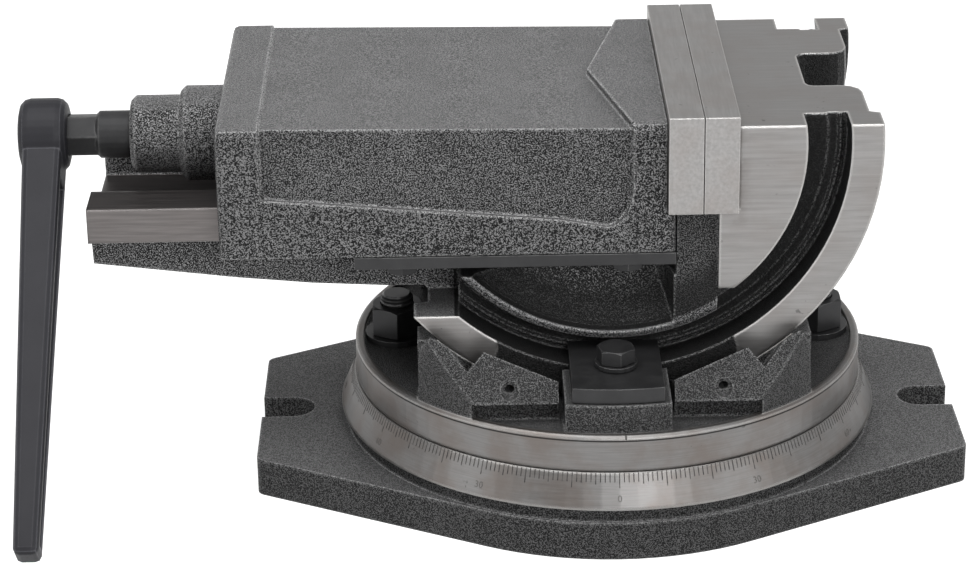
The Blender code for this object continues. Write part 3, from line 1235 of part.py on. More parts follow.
def build_sliding(axis):
    hang(axis, movable_jaw(), jaw_plate("movable_jaw_plate", MOVABLE_FACE_X, -1))
    for number in (1, 2):
        hang(axis, plate_screw("movable_plate_screw_%d" % number, number, MOVABLE_FACE_X, -1))
    for side, where in SIDES:
        hang(axis, gib_strip(where, side))
    for number in range(1, len(gib_bolt_places()) + 1):
        hang(axis, gib_bolt(number))


def build():
    base_plate()
    pivot_pin()
    swivel = joint_empty("swivel_axis", (0, 0, TABLE_BOTTOM))
    tilt = joint_empty("tilt_axis", (0, 0, AXIS_Z), swivel)
    slide = joint_empty("slide_axis", (MOVABLE_FACE_X, 0, SCREW_Z), tilt)
    spindle = joint_empty("spindle_axis", (HEX_X, 0, SCREW_Z), slide)
    build_swivel(swivel)
    build_tilting(tilt)
    build_sliding(slide)
    hang(spindle, lead_screw(), thrust_collar(), collar_pin(), crank_handle())
    bpy.context.view_layer.update()


build()
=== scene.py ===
"""Looks of a two-way tilting machine vise: hammertone castings, ground steel and blackened bolts.

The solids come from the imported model. This file gives them their finishes and adds the engraved
degree scale, its numerals, the index mark and the stage. The threads of the swivel bolts and of the
lead screw are only bump and colour in their materials, because the solids are plain there.
"""
import math

import bmesh
import bpy
from bpy.props import FloatProperty, FloatVectorProperty, IntProperty, PointerProperty
from mathutils import Matrix, Vector


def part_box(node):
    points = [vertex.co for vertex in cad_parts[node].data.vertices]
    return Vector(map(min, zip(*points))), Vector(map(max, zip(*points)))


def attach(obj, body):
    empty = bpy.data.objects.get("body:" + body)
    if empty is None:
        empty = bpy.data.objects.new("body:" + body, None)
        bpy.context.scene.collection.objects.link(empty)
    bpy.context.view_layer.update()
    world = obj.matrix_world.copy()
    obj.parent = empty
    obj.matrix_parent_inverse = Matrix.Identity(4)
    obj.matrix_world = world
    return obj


bl_info = {
    "name": "Tilting Vise Looks",
    "version": (1, 0, 0),
    "blender": (4, 5, 0),
    "location": "View3D > Sidebar > Vise",
    "description": "Finishes, engraved scale and stage for a tilting machine vise",
    "category": "Object",
}

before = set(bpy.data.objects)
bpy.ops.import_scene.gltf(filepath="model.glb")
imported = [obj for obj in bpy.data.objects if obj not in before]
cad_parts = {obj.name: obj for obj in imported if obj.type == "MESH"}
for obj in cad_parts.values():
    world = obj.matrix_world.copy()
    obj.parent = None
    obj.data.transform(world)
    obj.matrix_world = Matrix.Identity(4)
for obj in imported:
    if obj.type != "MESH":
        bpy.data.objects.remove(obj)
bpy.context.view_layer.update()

# Places taken from the imported solids, and further places given as numbers
PLATE_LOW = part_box("fixed_jaw_plate")[0]
BODY_LOW, BODY_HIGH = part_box("tilt_body")
TABLE_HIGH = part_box("swivel_table")[1]
BASE_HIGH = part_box("base_plate")[1]
CASTING_HALF = BODY_HIGH.y
CASTING_TOP = BODY_HIGH.z
TILT_RADIUS = 0.0930
TILT_AXIS_Z = BODY_LOW.z + TILT_RADIUS
TABLE_RADIUS = TABLE_HIGH.x
SCALE_TOP_RADIUS = 0.0940
SCALE_FOOT_RADIUS = 0.0992
SCALE_TOP_Z = BASE_HIGH.z
SCALE_FOOT_Z = 0.0190
RIM_TOP_Z = 0.0445
RAIL_TOP_Z = 0.1113
RAIL_BOTTOM_Z = 0.0986
RAIL_OUTER_Y = 0.0410
FIXED_BLOCK_X = 0.0219
SECTOR_TOP_Z = 0.0893
SECTOR_END_X = -0.0562
END_FACE_X = (-0.0560, -0.0540)
PLATE_SEAT_X = (0.0420, 0.0440)
PAD_LEFT_X = 0.0360

# Distances from the tilt axis
DISH_SHADE_RADII = (0.0500, 0.0600)
GROOVE_INNER_RADIUS = 0.0670
GROOVE_STEP_RADIUS = 0.0760
GROOVE_OUTER_RADIUS = 0.0810

# How far a mask reaches past the face that it covers, and a length beyond the whole part
SKIN = 0.0001
HAIR = 0.0002
ARC_SKIN = 0.0006
FAR = 10.0

# How squarely a face has to look along an axis
HALF_WAY = 0.5
FLATLY = 0.9
SQUARELY = 0.95

# Steel that was ground, and steel that was turned: how stained it is and how strong the painted highlight on
# its edges is
GROUND_STAIN, GROUND_HIGHLIGHT = 0.25, 0.6
TURNED_STAIN, TURNED_HIGHLIGHT = 0.75, 0.3
PLATE_STAIN, PLATE_HIGHLIGHT = 0.35, 0.7
STEEL_METAL = 0.92

# Fine lines per metre along X, Y and Z
ROUND_LINES = (60.0, 60.0, 2200.0)
BODY_LINES = (40.0, 900.0, 900.0)
PLATE_LINES = (900.0, 60.0, 900.0)
NUT_LINES = (60.0, 2500.0, 60.0)

BRONZE_LIGHT = (0.42, 0.25, 0.10)
BRONZE_DARK = (0.24, 0.14, 0.07)

# Threads: pitch of the M12 bolts and lead of the screw
BOLT_PITCH = 0.00175
BOLT_THREAD_LENGTH = 0.02
SCREW_LEAD = 0.004

# The engraved scale and the index mark on the table's rim
SCALE_FRONT = -90
ENGRAVING_DEPTH = 0.0004
WORN_NUMERALS = 0.30
MERGE_DISTANCE = 0.000001
MARK_ANGLE = math.radians(-88.6)
MARK_INSET = 0.0010
MARK_DROP = 0.0005
MARK_SIZE = (0.0005, 0.0021, 0.0012)

# The stage
WHITE = (1.0, 1.0, 1.0, 1.0)
FLOOR_GREY = (0.25, 0.25, 0.25, 1.0)
FLOOR_HALF = 6.0
FLOOR_Z = -0.0002
LOOK_AT = (0.0, 0.0, 0.08)
CEILING_RISE = (0.10, 0.70)
SENSOR_WIDTH = 36.0
CLIP_START = 0.05


# Small helpers for node trees

class Tree:
    """Adds nodes to a node tree and joins them; a value may be a number or a socket."""

    def __init__(self, tree):
        self.tree = tree
        self.count = 0

    def node(self, kind, **settings):
        made = self.tree.nodes.new(kind)
        made.location = (180 * (self.count // 4) - 1600, -180 * (self.count % 4))
        self.count += 1
        for key, value in settings.items():
            setattr(made, key, value)
        return made

    def feed(self, socket, value):
        if isinstance(value, bpy.types.NodeSocket):
            self.tree.links.new(value, socket)
        else:
            socket.default_value = value

    def math(self, operation, a, b=0.0, c=0.0, clamp=False):
        made = self.node("ShaderNodeMath", operation=operation, use_clamp=clamp)
        for socket, value in zip(made.inputs, (a, b, c)):
            self.feed(socket, value)
        return made.outputs[0]

    def vector(self, operation, a, b=(0.0, 0.0, 0.0), output=0):
        made = self.node("ShaderNodeVectorMath", operation=operation)
        self.feed(made.inputs[0], a)
        self.feed(made.inputs[1], b)
        return made.outputs[output]

    def smooth(self, value, low, high):
        """0 below low, 1 above high, or the other way round when low is the larger."""
        made = self.node("ShaderNodeMapRange", interpolation_type="SMOOTHSTEP")
        self.feed(made.inputs["Value"], value)
        made.inputs["From Min"].default_value = low
        made.inputs["From Max"].default_value = high
        return made.outputs["Result"]

    def above(self, value, limit):
        return self.math("GREATER_THAN", value, limit)

    def below(self, value, limit):
        return self.math("LESS_THAN", value, limit)

    def between(self, value, low, high):
        return self.every(self.above(value, low), self.below(value, high))

    def length(self, a, b):
        """Length of the flat vector (a, b)."""
        squares = self.math("ADD", self.math("MULTIPLY", a, a), self.math("MULTIPLY", b, b))
        return self.math("SQRT", squares)

    def every(self, *masks):
        """The masks multiplied together."""
        result = masks[0]
        for mask in masks[1:]:
            result = self.math("MULTIPLY", result, mask)
        return result

    def either(self, *masks):
        """The largest of the masks."""
        result = masks[0]
        for mask in masks[1:]:
            result = self.math("MAXIMUM", result, mask)
        return result

    def mix(self, factor, a, b):
        """Colour a where factor is 0, and b where it is 1."""
        made = self.node("ShaderNodeMix", data_type="RGBA")
        self.feed(made.inputs[0], factor)
        self.feed(made.inputs[6], a)
        self.feed(made.inputs[7], b)
        return made.outputs[2]

    def blend(self, factor, a, b):
        """Number a where factor is 0, and b where it is 1."""
        made = self.node("ShaderNodeMix", data_type="FLOAT")
        self.feed(made.inputs[0], factor)
        self.feed(made.inputs[2], a)
        self.feed(made.inputs[3], b)
        return made.outputs[0]

    def place(self):
        """Object coordinates, and their X, Y and Z."""
        where = self.node("ShaderNodeTexCoord").outputs["Object"]
        split = self.node("ShaderNodeSeparateXYZ")
        self.feed(split.inputs[0], where)
        return (where, *split.outputs)

    def facing(self):
        """The surface's own normal in object space, as absolute X, absolute Y and Z."""
        split = self.node("ShaderNodeSeparateXYZ")
        self.feed(split.inputs[0], self.node("ShaderNodeTexCoord").outputs["Normal"])
        across = self.math("ABSOLUTE", split.outputs[0])
        deep = self.math("ABSOLUTE", split.outputs[1])
        return across, deep, split.outputs[2]

    def noise(self, where, scale, detail=2.0, roughness=0.5, distortion=0.0):
        made = self.node("ShaderNodeTexNoise")
        self.feed(made.inputs["Vector"], where)
        self.feed(made.inputs["Scale"], scale)
        made.inputs["Detail"].default_value = detail
        made.inputs["Roughness"].default_value = roughness
        made.inputs["Distortion"].default_value = distortion
        return made.outputs["Fac"]


def shader_group(name, inputs, outputs):
    """A new shader node group with the named sockets, and its tree helper."""
    tree = bpy.data.node_groups.new(name, "ShaderNodeTree")
    for label, kind, default in inputs:
        socket = tree.interface.new_socket(label, in_out="INPUT", socket_type=kind)
        if default is not None:
            socket.default_value = default
    for label, kind in outputs:
        tree.interface.new_socket(label, in_out="OUTPUT", socket_type=kind)
    helper = Tree(tree)
    return helper, helper.node("NodeGroupInput"), helper.node("NodeGroupOutput")


def hammertone_group():
    """Worm-like paint flecks: a mask of the light flecks and the paint's relief."""
    tree, given, result = shader_group(
        "Hammertone flecks",
        [("Scale", "NodeSocketFloat", 900.0), ("Contrast", "NodeSocketFloat", 1.0)],
        [("Flecks", "NodeSocketFloat"), ("Height", "NodeSocketFloat")])
    where = tree.place()[0]
    scale = given.outputs["Scale"]
    worms = tree.noise(where, scale, 0.5, 0.5, 0.6)
    clouds = tree.noise(where, 42.0, 2.0, 0.5)
    level = tree.math("MULTIPLY_ADD", clouds, 0.10, tree.math("SUBTRACT", worms, 0.05))
    sharp = tree.smooth(level, 0.46, 0.59)
    flecks = tree.blend(given.outputs["Contrast"], 0.45, sharp)
    tree.feed(result.inputs["Flecks"], flecks)
    tree.feed(result.inputs["Height"], tree.smooth(worms, 0.30, 0.70))
    return tree.tree


def edge_group():
    """Rounded edges: a softened normal, and a mask that is 1 on outer edges."""
    tree, given, result = shader_group(
        "Rounded edges",
        [("Radius", "NodeSocketFloat", 0.0006)],
        [("Edges", "NodeSocketFloat"), ("Normal", "NodeSocketVector")])
    bevel = tree.node("ShaderNodeBevel", samples=6)
    tree.feed(bevel.inputs["Radius"], given.outputs["Radius"])
    flat = tree.node("ShaderNodeNewGeometry").outputs["Normal"]
    same = tree.vector("DOT_PRODUCT", bevel.outputs["Normal"], flat, output=1)
    tree.feed(result.inputs["Edges"], tree.smooth(same, 0.990, 0.90))
    tree.feed(result.inputs["Normal"], bevel.outputs["Normal"])
    return tree.tree


def ground_group():
    """Ground or brushed metal: fine lines along one way, soft patches, and small dark pits."""
    tree, given, result = shader_group(
        "Ground marks",
        [("Lines", "NodeSocketVector", (60.0, 60.0, 2500.0))],
        [("Streaks", "NodeSocketFloat"), ("Patches", "NodeSocketFloat"), ("Pits", "NodeSocketFloat")])
    where = tree.place()[0]
    lines = tree.vector("MULTIPLY", where, given.outputs["Lines"])
    tree.feed(result.inputs["Streaks"], tree.noise(lines, 1.0, 3.0, 0.6))
    tree.feed(result.inputs["Patches"], tree.smooth(tree.noise(where, 55.0, 4.0, 0.6), 0.35, 0.70))
    spots = tree.noise(where, 420.0, 1.0, 0.5)
    rare = tree.noise(where, 75.0, 1.0, 0.5)
    pits = tree.every(tree.smooth(spots, 0.71, 0.77), tree.smooth(rare, 0.54, 0.64))
    tree.feed(result.inputs["Pits"], pits)
    return tree.tree


GROUPS = {}


def use_group(tree, name, **values):
    """Place one of the shared node groups in a material."""
    makers = {"flecks": hammertone_group, "edges": edge_group, "ground": ground_group}
    if name not in GROUPS:
        GROUPS[name] = makers[name]()
    made = tree.node("ShaderNodeGroup", node_tree=GROUPS[name])
    for label, value in values.items():
        tree.feed(made.inputs[label], value)
    return made


def new_material(name):
    """A fresh material, its tree helper and its Principled shader."""
    made = bpy.data.materials.new(name)
    made.use_nodes = True
    tree = Tree(made.node_tree)
    return made, tree, made.node_tree.nodes["Principled BSDF"]


def colour(values):
    """Red, green and blue with full alpha."""
    return (*values, 1.0)


def finish_surface(tree, shader, base, roughness, metallic, height, relief, normal, strength=1.0):
    """Feed the shader its colour, roughness, metal mask and a bump over the rounded normal."""
    bump = tree.node("ShaderNodeBump")
    bump.inputs["Strength"].default_value = strength
    bump.inputs["Distance"].default_value = relief
    tree.feed(bump.inputs["Height"], height)
    tree.feed(bump.inputs["Normal"], normal)
    tree.feed(shader.inputs["Base Color"], base)
    tree.feed(shader.inputs["Roughness"], roughness)
    tree.feed(shader.inputs["Metallic"], metallic)
    tree.feed(shader.inputs["Normal"], bump.outputs[0])


def paint_parts(tree, looks, tone, fineness):
    """Paint of the four castings: colour, roughness, height, rounded edges, glints and flecks, with painted
    glints on the edges and painted shade, set apart for faces that look up and for the others.
    """
    up = tree.facing()[2]
    # Faces that look up get finer, softer flecks: partly the paint's look there, partly painted sheen.
    level = tree.smooth(up, 0.80, 0.97)
    coarse = use_group(tree, "flecks", Scale=looks.fleck_scale * fineness, Contrast=1.0 / fineness)
    fine = use_group(tree, "flecks", Scale=looks.fleck_scale * 1.1, Contrast=0.55)
    flecks = tree.blend(level, coarse.outputs["Flecks"], fine.outputs["Flecks"])
    height = tree.blend(level, coarse.outputs["Height"], fine.outputs["Height"])
    edges = use_group(tree, "edges", Radius=looks.cast_edge)
    where = tree.place()[0]
    # Painted highlight: scattered glints on the rounded cast edges.
    glints = tree.smooth(tree.noise(where, 1900.0, 1.0, 0.6), 0.44, 0.56)
    shine = tree.math("MULTIPLY", edges.outputs["Edges"], glints)
    base = tree.mix(flecks, colour(looks.paint_dark), colour(looks.paint_fleck))
    base = tree.mix(tree.math("MULTIPLY", shine, 0.75), base, colour(looks.paint_glint))
    # Painted shade: the paint is darkened towards black by 1 - tone, one amount on faces that look up and
    # another on the others.
    top_shade_tone, side_shade_tone = tone
    shade = tree.blend(level, 1.0 - side_shade_tone, 1.0 - top_shade_tone)
    base = tree.mix(shade, base, colour(looks.groove_black))
    roughness = tree.math("MULTIPLY_ADD", flecks, -0.16, 0.46)
    return base, roughness, height, edges, shine, flecks


def steel_parts(tree, looks, lines, stain):
    """Colour, roughness and streaks of bare steel with soft brownish patches and pits."""
    marks = use_group(tree, "ground", Lines=lines)
    tone = tree.smooth(marks.outputs["Streaks"], 0.15, 0.85)
    base = tree.mix(tone, colour(looks.steel_dark), colour(looks.steel_light))
    stained = tree.math("MULTIPLY", marks.outputs["Patches"], stain)
    base = tree.mix(stained, base, colour(looks.steel_stain))
    base = tree.mix(tree.math("MULTIPLY", marks.outputs["Pits"], 0.45), base, colour(looks.paint_dark))
    roughness = tree.math("MULTIPLY_ADD", marks.outputs["Streaks"], 0.22, 0.30)
    return base, roughness, marks.outputs["Streaks"]


def casting_material(name, looks, region, lines, tone=(1.0, 1.0), shine=1.0, turned=False, fineness=1.0,
                     dark_area=None, worn=None):
    """Hammertone paint with bare steel where region says so.

    tone is how light the paint is left by painted shade on faces that look up and on the others, and shine how
    light the steel is. Turned steel is more stained than ground steel, with a weaker painted highlight on its
    edges. fineness scales the flecks. dark_area gives a mask of the grooves' black and painted shade and its
    roughness, and worn a mask on the steel and its tint.
    """
    made, tree, shader = new_material(name)
    shader.inputs["Specular IOR Level"].default_value = looks.paint_gloss
    base, roughness, height, edges, painted_glint_mask, flecks = paint_parts(tree, looks, tone, fineness)
    stain, highlight_strength = (TURNED_STAIN, TURNED_HIGHLIGHT) if turned else (GROUND_STAIN, GROUND_HIGHLIGHT)
    steel, steel_roughness, streaks = steel_parts(tree, looks, lines, stain)
    if shine != 1.0:
        steel = tree.mix(1.0 - shine, steel, colour(looks.groove_black))
    if dark_area:
        # Black of the grooves and painted shade in the grooves and the dish.
        black, black_roughness = dark_area(tree)
        base = tree.mix(black, base, colour(looks.groove_black))
        # Painted highlight: glints on the edges inside the dark grooves.
        base = tree.mix(tree.every(black, painted_glint_mask, 0.28), base, colour(looks.paint_glint))
        roughness = tree.blend(black, roughness, black_roughness)
    mask = region(tree)
    # Painted highlight on the bare steel's edges.
    painted_edge_highlight = tree.math("MULTIPLY", edges.outputs["Edges"], highlight_strength)
    steel = tree.mix(painted_edge_highlight, steel, colour(looks.steel_edge))
    if worn:
        where_worn, tint = worn(tree, looks, streaks)
        steel = tree.mix(where_worn, steel, tint)
    base = tree.mix(mask, base, steel)
    roughness = tree.blend(mask, roughness, steel_roughness)
    metallic = tree.blend(mask, tree.math("MULTIPLY", flecks, looks.paint_metallic), STEEL_METAL)
    height = tree.blend(mask, height, tree.math("MULTIPLY", streaks, 0.12))
    finish_surface(tree, shader, base, roughness, metallic, height, looks.paint_relief,
                   edges.outputs["Normal"])
    return made


def base_region(tree):
    """The ground cone of the degree scale."""
    return tree.above(tree.place()[3], SCALE_FOOT_Z - SKIN)


def table_region(tree):
    """The turned band and rim of the table, and the bored seats of the cradle."""
    _, x, y, z = tree.place()
    band = tree.every(tree.above(tree.length(x, y), TABLE_RADIUS - 0.0032), tree.below(z, RIM_TOP_Z + SKIN))
    seat = tree.every(tree.below(tilt_distance(tree, x, z), TILT_RADIUS + ARC_SKIN),
                      tree.below(tree.math("ABSOLUTE", y), CASTING_HALF + HAIR),
                      tree.above(z, RIM_TOP_Z))
    return tree.either(band, seat)


def table_worn(tree, looks, _):
    """The thin dark ring line under the table's rim."""
    _, x, y, z = tree.place()
    ring = tree.every(tree.between(z, RIM_TOP_Z - 0.0020, RIM_TOP_Z - 0.0014),
                      tree.above(tree.length(x, y), TABLE_RADIUS - 0.0010))
    return tree.math("MULTIPLY", ring, 0.85), colour(looks.groove_black)


def tilt_distance(tree, x, z):
    """Distance from the tilt axis."""
    return tree.length(x, tree.math("SUBTRACT", z, TILT_AXIS_Z))


def rail_box(tree, x, side, z):
    """The box round the two slideways; side is the distance from the middle plane."""
    return tree.every(tree.between(z, RAIL_BOTTOM_Z + SKIN, RAIL_TOP_Z + SKIN),
                      tree.below(side, RAIL_OUTER_Y + HAIR), tree.below(x, FIXED_BLOCK_X - HAIR))


def body_region(tree):
    """Top, slideways, arc bands, side pads and the outer arc of the tilting body."""
    where, x, y, z = tree.place()
    side = tree.math("ABSOLUTE", y)
    fx, fy, fz = tree.facing()
    radius = tilt_distance(tree, x, z)
    front = tree.every(tree.above(fy, FLATLY), tree.above(side, CASTING_HALF - 0.0004))
    wander = tree.math("MULTIPLY_ADD", tree.noise(where, 90.0, 1.0, 0.5), 0.008, -0.0465)
    clean = tree.smooth(tree.math("ADD", tree.math("ABSOLUTE", x), wander), -0.0008, 0.0008)
    band = tree.every(front, tree.above(radius, GROOVE_OUTER_RADIUS), clean)
    pad = tree.every(front, tree.above(x, PAD_LEFT_X), tree.below(radius, GROOVE_INNER_RADIUS))
    top = tree.every(tree.above(fz, FLATLY), tree.above(z, CASTING_TOP - 0.0003))
    rails = tree.every(rail_box(tree, x, side, z),
                       tree.either(tree.below(fy, HALF_WAY), tree.above(side, RAIL_OUTER_Y - HAIR)))
    arc = tree.every(tree.between(radius, TILT_RADIUS - ARC_SKIN, TILT_RADIUS + ARC_SKIN),
                     tree.below(fy, HALF_WAY), tree.above(x, SECTOR_END_X))
    ends = tree.every(tree.above(fx, SQUARELY), tree.between(x, *END_FACE_X))
    seat = tree.every(tree.above(fx, SQUARELY), tree.between(x, *PLATE_SEAT_X),
                      tree.above(z, PLATE_LOW.z - 0.0005))
    return tree.either(band, pad, top, rails, arc, ends, seat)


def body_grooves(tree):
    """Black of the stepped arc grooves, partly their own black and partly painted shade in the recesses,
    painted shade in the dish, and how rough both are.
    """
    _, x, y, z = tree.place()
    side = tree.math("ABSOLUTE", y)
    radius = tilt_distance(tree, x, z)
    inside = GROOVE_INNER_RADIUS - HAIR
    floor = tree.every(tree.above(radius, inside), tree.below(side, CASTING_HALF - 0.0030))
    groove = tree.every(tree.either(floor, tree.above(radius, GROOVE_STEP_RADIUS)),
                        tree.below(z, CASTING_TOP - 0.0005))
    wall = tree.every(tree.between(radius, GROOVE_INNER_RADIUS - 0.0008, GROOVE_INNER_RADIUS),
                      tree.below(side, CASTING_HALF))
    # Painted shade in the dish, stronger further from the tilt axis.
    painted_dish_shade = tree.math("MULTIPLY_ADD", tree.smooth(radius, *DISH_SHADE_RADII), 0.35, 0.50)
    # Grooves and their inner wall darkened towards black: partly their own black, partly painted shade in the
    # recesses.
    dark = tree.either(tree.math("MULTIPLY", groove, 0.93), tree.math("MULTIPLY", wall, 0.55),
                       tree.math("MULTIPLY", tree.below(radius, inside), painted_dish_shade))
    sector = tree.every(tree.either(tree.below(z, SECTOR_TOP_Z + HAIR), tree.above(x, FIXED_BLOCK_X)),
                        tree.above(x, SECTOR_END_X))
    return tree.math("MULTIPLY", dark, sector), 0.30


def body_worn(tree, looks, streaks):
    """The slideways, oiled and browner, darker on top, and a stain beside the jaw plate."""
    where, x, y, z = tree.place()
    side = tree.math("ABSOLUTE", y)
    up = tree.above(tree.facing()[2], HALF_WAY)
    rails = tree.math("MULTIPLY", rail_box(tree, x, side, z), tree.blend(up, 0.85, 0.97))
    patch = tree.smooth(tree.noise(where, 110.0, 3.0, 0.6), 0.42, 0.62)
    stain = tree.every(patch, tree.smooth(x, 0.0500, 0.0400), tree.smooth(z, 0.1040, 0.1160),
                       tree.above(side, CASTING_HALF - 0.0004), 0.45)
    tint = tree.smooth(streaks, 0.35, 0.68)
    tint = tree.mix(tint, colour(looks.rail_dark), colour(looks.rail_steel))
    # Faces that look up are made darker.
    tint = tree.mix(tree.math("MULTIPLY", up, 0.35), tint, colour(looks.paint_dark))
    return tree.either(rails, stain), tint


def no_region(tree):
    """Nowhere, for a casting without bare steel."""
    return tree.above(tree.place()[3], FAR)


def steel_material(name, looks, lines):
    """Ground steel all over, for the jaw plates."""
    made, tree, shader = new_material(name)
    edges = use_group(tree, "edges", Radius=looks.fine_edge)
    base, roughness, streaks = steel_parts(tree, looks, lines, PLATE_STAIN)
    # Painted highlight on the plates' edges.
    painted_edge_highlight = tree.math("MULTIPLY", edges.outputs["Edges"], PLATE_HIGHLIGHT)
    base = tree.mix(painted_edge_highlight, base, colour(looks.steel_edge))
    finish_surface(tree, shader, base, roughness, STEEL_METAL, streaks, 0.00002, edges.outputs["Normal"])
    return made


def oxide_material(name, looks, thread=None, edge=None, metal=0.55, gloss=None):
    """Blackened steel with lighter worn edges; thread is (axis letter, pitch, lowest, highest), and its crests
    get a painted highlight.
    """
    made, tree, shader = new_material(name)
    if gloss is not None:
        shader.inputs["Specular IOR Level"].default_value = gloss
    where, x, y, z = tree.place()
    edges = use_group(tree, "edges", Radius=edge or looks.fine_edge)
    patches = tree.noise(where, 160.0, 3.0, 0.6)
    base = tree.mix(patches, colour(looks.oxide), colour(looks.oxide_light))
    worn = tree.math("MULTIPLY", edges.outputs["Edges"], tree.smooth(patches, 0.30, 0.60))
    base = tree.mix(tree.math("MULTIPLY", worn, 0.7), base, colour(looks.oxide_worn))
    roughness = tree.math("MULTIPLY_ADD", patches, 0.25, 0.30)
    height = tree.math("MULTIPLY", patches, 0.05)
    if thread:
        axis, pitch, low, high = thread
        along = {"X": x, "Y": y, "Z": z}[axis]
        turns = tree.math("PINGPONG", along, pitch / 2)
        ridge = tree.math("DIVIDE", turns, pitch / 2)
        inside = tree.between(along, low, high)
        height = tree.math("MULTIPLY_ADD", ridge, inside, height)
        # Painted highlight: the thread's crests lighter, standing in for light on its ridges.
        base = tree.mix(tree.every(inside, ridge, 0.5), base, colour(looks.oxide_worn))
    finish_surface(tree, shader, base, roughness, metal, height, 0.0006, edges.outputs["Normal"], 0.8)
    return made


def handle_material(name, looks):
    """Satin dark blue-grey forging with a painted highlight on its edges, the channel's edges among them."""
    made, tree, shader = new_material(name)
    where = tree.place()[0]
    edges = use_group(tree, "edges", Radius=looks.forged_edge)
    grain = tree.noise(where, 900.0, 3.0, 0.6)
    clouds = tree.noise(where, 60.0, 3.0, 0.5)
    base = tree.mix(clouds, colour(looks.handle_dark), colour(looks.handle_light))
    # Painted highlight along the crank's edges.
    worn = tree.math("MULTIPLY", edges.outputs["Edges"], 0.55)
    base = tree.mix(worn, base, colour(looks.handle_worn))
    roughness = tree.math("MULTIPLY_ADD", grain, 0.20, 0.36)
    shader.inputs["Specular IOR Level"].default_value = looks.paint_gloss
    finish_surface(tree, shader, base, roughness, 0.10, grain, 0.00004, edges.outputs["Normal"])
    return made


def bronze_material(name, looks):
    """Machined bronze of the screw nut, a little tarnished."""
    made, tree, shader = new_material(name)
    edges = use_group(tree, "edges", Radius=looks.fine_edge)
    marks = use_group(tree, "ground", Lines=NUT_LINES)
    base = tree.mix(marks.outputs["Patches"], colour(BRONZE_LIGHT), colour(BRONZE_DARK))
    roughness = tree.math("MULTIPLY_ADD", marks.outputs["Streaks"], 0.2, 0.34)
    finish_surface(tree, shader, base, roughness, 1.0, marks.outputs["Streaks"], 0.00002,
                   edges.outputs["Normal"])
    return made


def engraving_material(name, looks, worn=0.0):
    """Dark fill of the engraved ticks and numerals; worn goes from 0, fresh, to 1, nearly gone."""
    made, tree, shader = new_material(name)
    where = tree.place()[0]
    wear = tree.noise(where, 500.0, 2.0, 0.6)
    faded = tree.smooth(wear, 0.35 - worn, 0.75 - worn)
    base = tree.mix(faded, colour(looks.engraving), colour(looks.engraving_worn))
    edges = use_group(tree, "edges", Radius=looks.fine_edge)
    roughness = tree.math("MULTIPLY_ADD", wear, 0.2, 0.5)
    finish_surface(tree, shader, base, roughness, 0.2, wear, 0.00001, edges.outputs["Normal"])
    return made


def dress(node, material):
    """Give a CAD node its finish."""
    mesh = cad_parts[node].data
    if not mesh.materials:
        mesh.materials.append(material)
    for index in range(len(mesh.materials)):
        mesh.materials[index] = material


def dress_all(nodes, material):
    """Give several CAD nodes the same finish."""
    for node in nodes:
        dress(node, material)


def as_piece(bm, name, material, body):
    """Finish a bmesh as a piece of the object that moves with a CAD body."""
    mesh = bpy.data.meshes.new(name)
    bmesh.ops.recalc_face_normals(bm, faces=bm.faces)
    bm.to_mesh(mesh)
    bm.free()
    mesh.materials.append(material)
    piece = bpy.data.objects.new(name, mesh)
    bpy.context.scene.collection.objects.link(piece)
    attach(piece, body)


def cone_place(angle, down, out=0.0):
    """A point on the scale cone: degrees round it, metres down its slope and metres off it."""
    drop = SCALE_TOP_Z - SCALE_FOOT_Z
    spread = SCALE_FOOT_RADIUS - SCALE_TOP_RADIUS
    slope = math.hypot(drop, spread)
    radius = SCALE_TOP_RADIUS + spread * down / slope + out * drop / slope
    height = SCALE_TOP_Z - drop * down / slope + out * spread / slope
    turn = math.radians(angle)
    return Vector((radius * math.cos(turn), radius * math.sin(turn), height))


def cone_matrix(angle, down, out=0.0):
    """Frame on the scale cone: X round it to the right, Y up its slope, Z out of it."""
    origin = cone_place(angle, down, out)
    right = Vector((-math.sin(math.radians(angle)), math.cos(math.radians(angle)), 0.0))
    up = (cone_place(angle, 0.0) - cone_place(angle, 0.01)).normalized()
    out_way = right.cross(up).normalized()
    rotation = Matrix((right, up, out_way)).transposed()
    return Matrix.Translation(origin) @ rotation.to_4x4()


def add_bar(bm, width, length, depth, matrix):
    """One engraved stroke, centred on the matrix."""
    cube = bmesh.ops.create_cube(bm, size=1.0)["verts"]
    bmesh.ops.scale(bm, vec=(width, length, depth), verts=cube)
    bmesh.ops.transform(bm, matrix=matrix, verts=cube)


def add_numeral(bm, words, height, depth, matrix):
    """Set a short number on the cone, with its strokes a little proud of it."""
    curve = bpy.data.curves.new("numeral", "FONT")
    curve.body = words
    curve.size = height
    curve.align_x = "CENTER"
    curve.align_y = "CENTER"
    curve.extrude = depth / 2
    curve.resolution_u = 3
    holder = bpy.data.objects.new("numeral", curve)
    bpy.context.scene.collection.objects.link(holder)
    bpy.context.view_layer.update()
    depsgraph = bpy.context.evaluated_depsgraph_get()
    mesh = bpy.data.meshes.new_from_object(holder.evaluated_get(depsgraph))
    bpy.data.objects.remove(holder, do_unlink=True)
    bpy.data.curves.remove(curve)
    before = set(bm.verts)
    bm.from_mesh(mesh)
    added = [vert for vert in bm.verts if vert not in before]
    bmesh.ops.transform(bm, matrix=matrix, verts=added)
    bpy.data.meshes.remove(mesh)


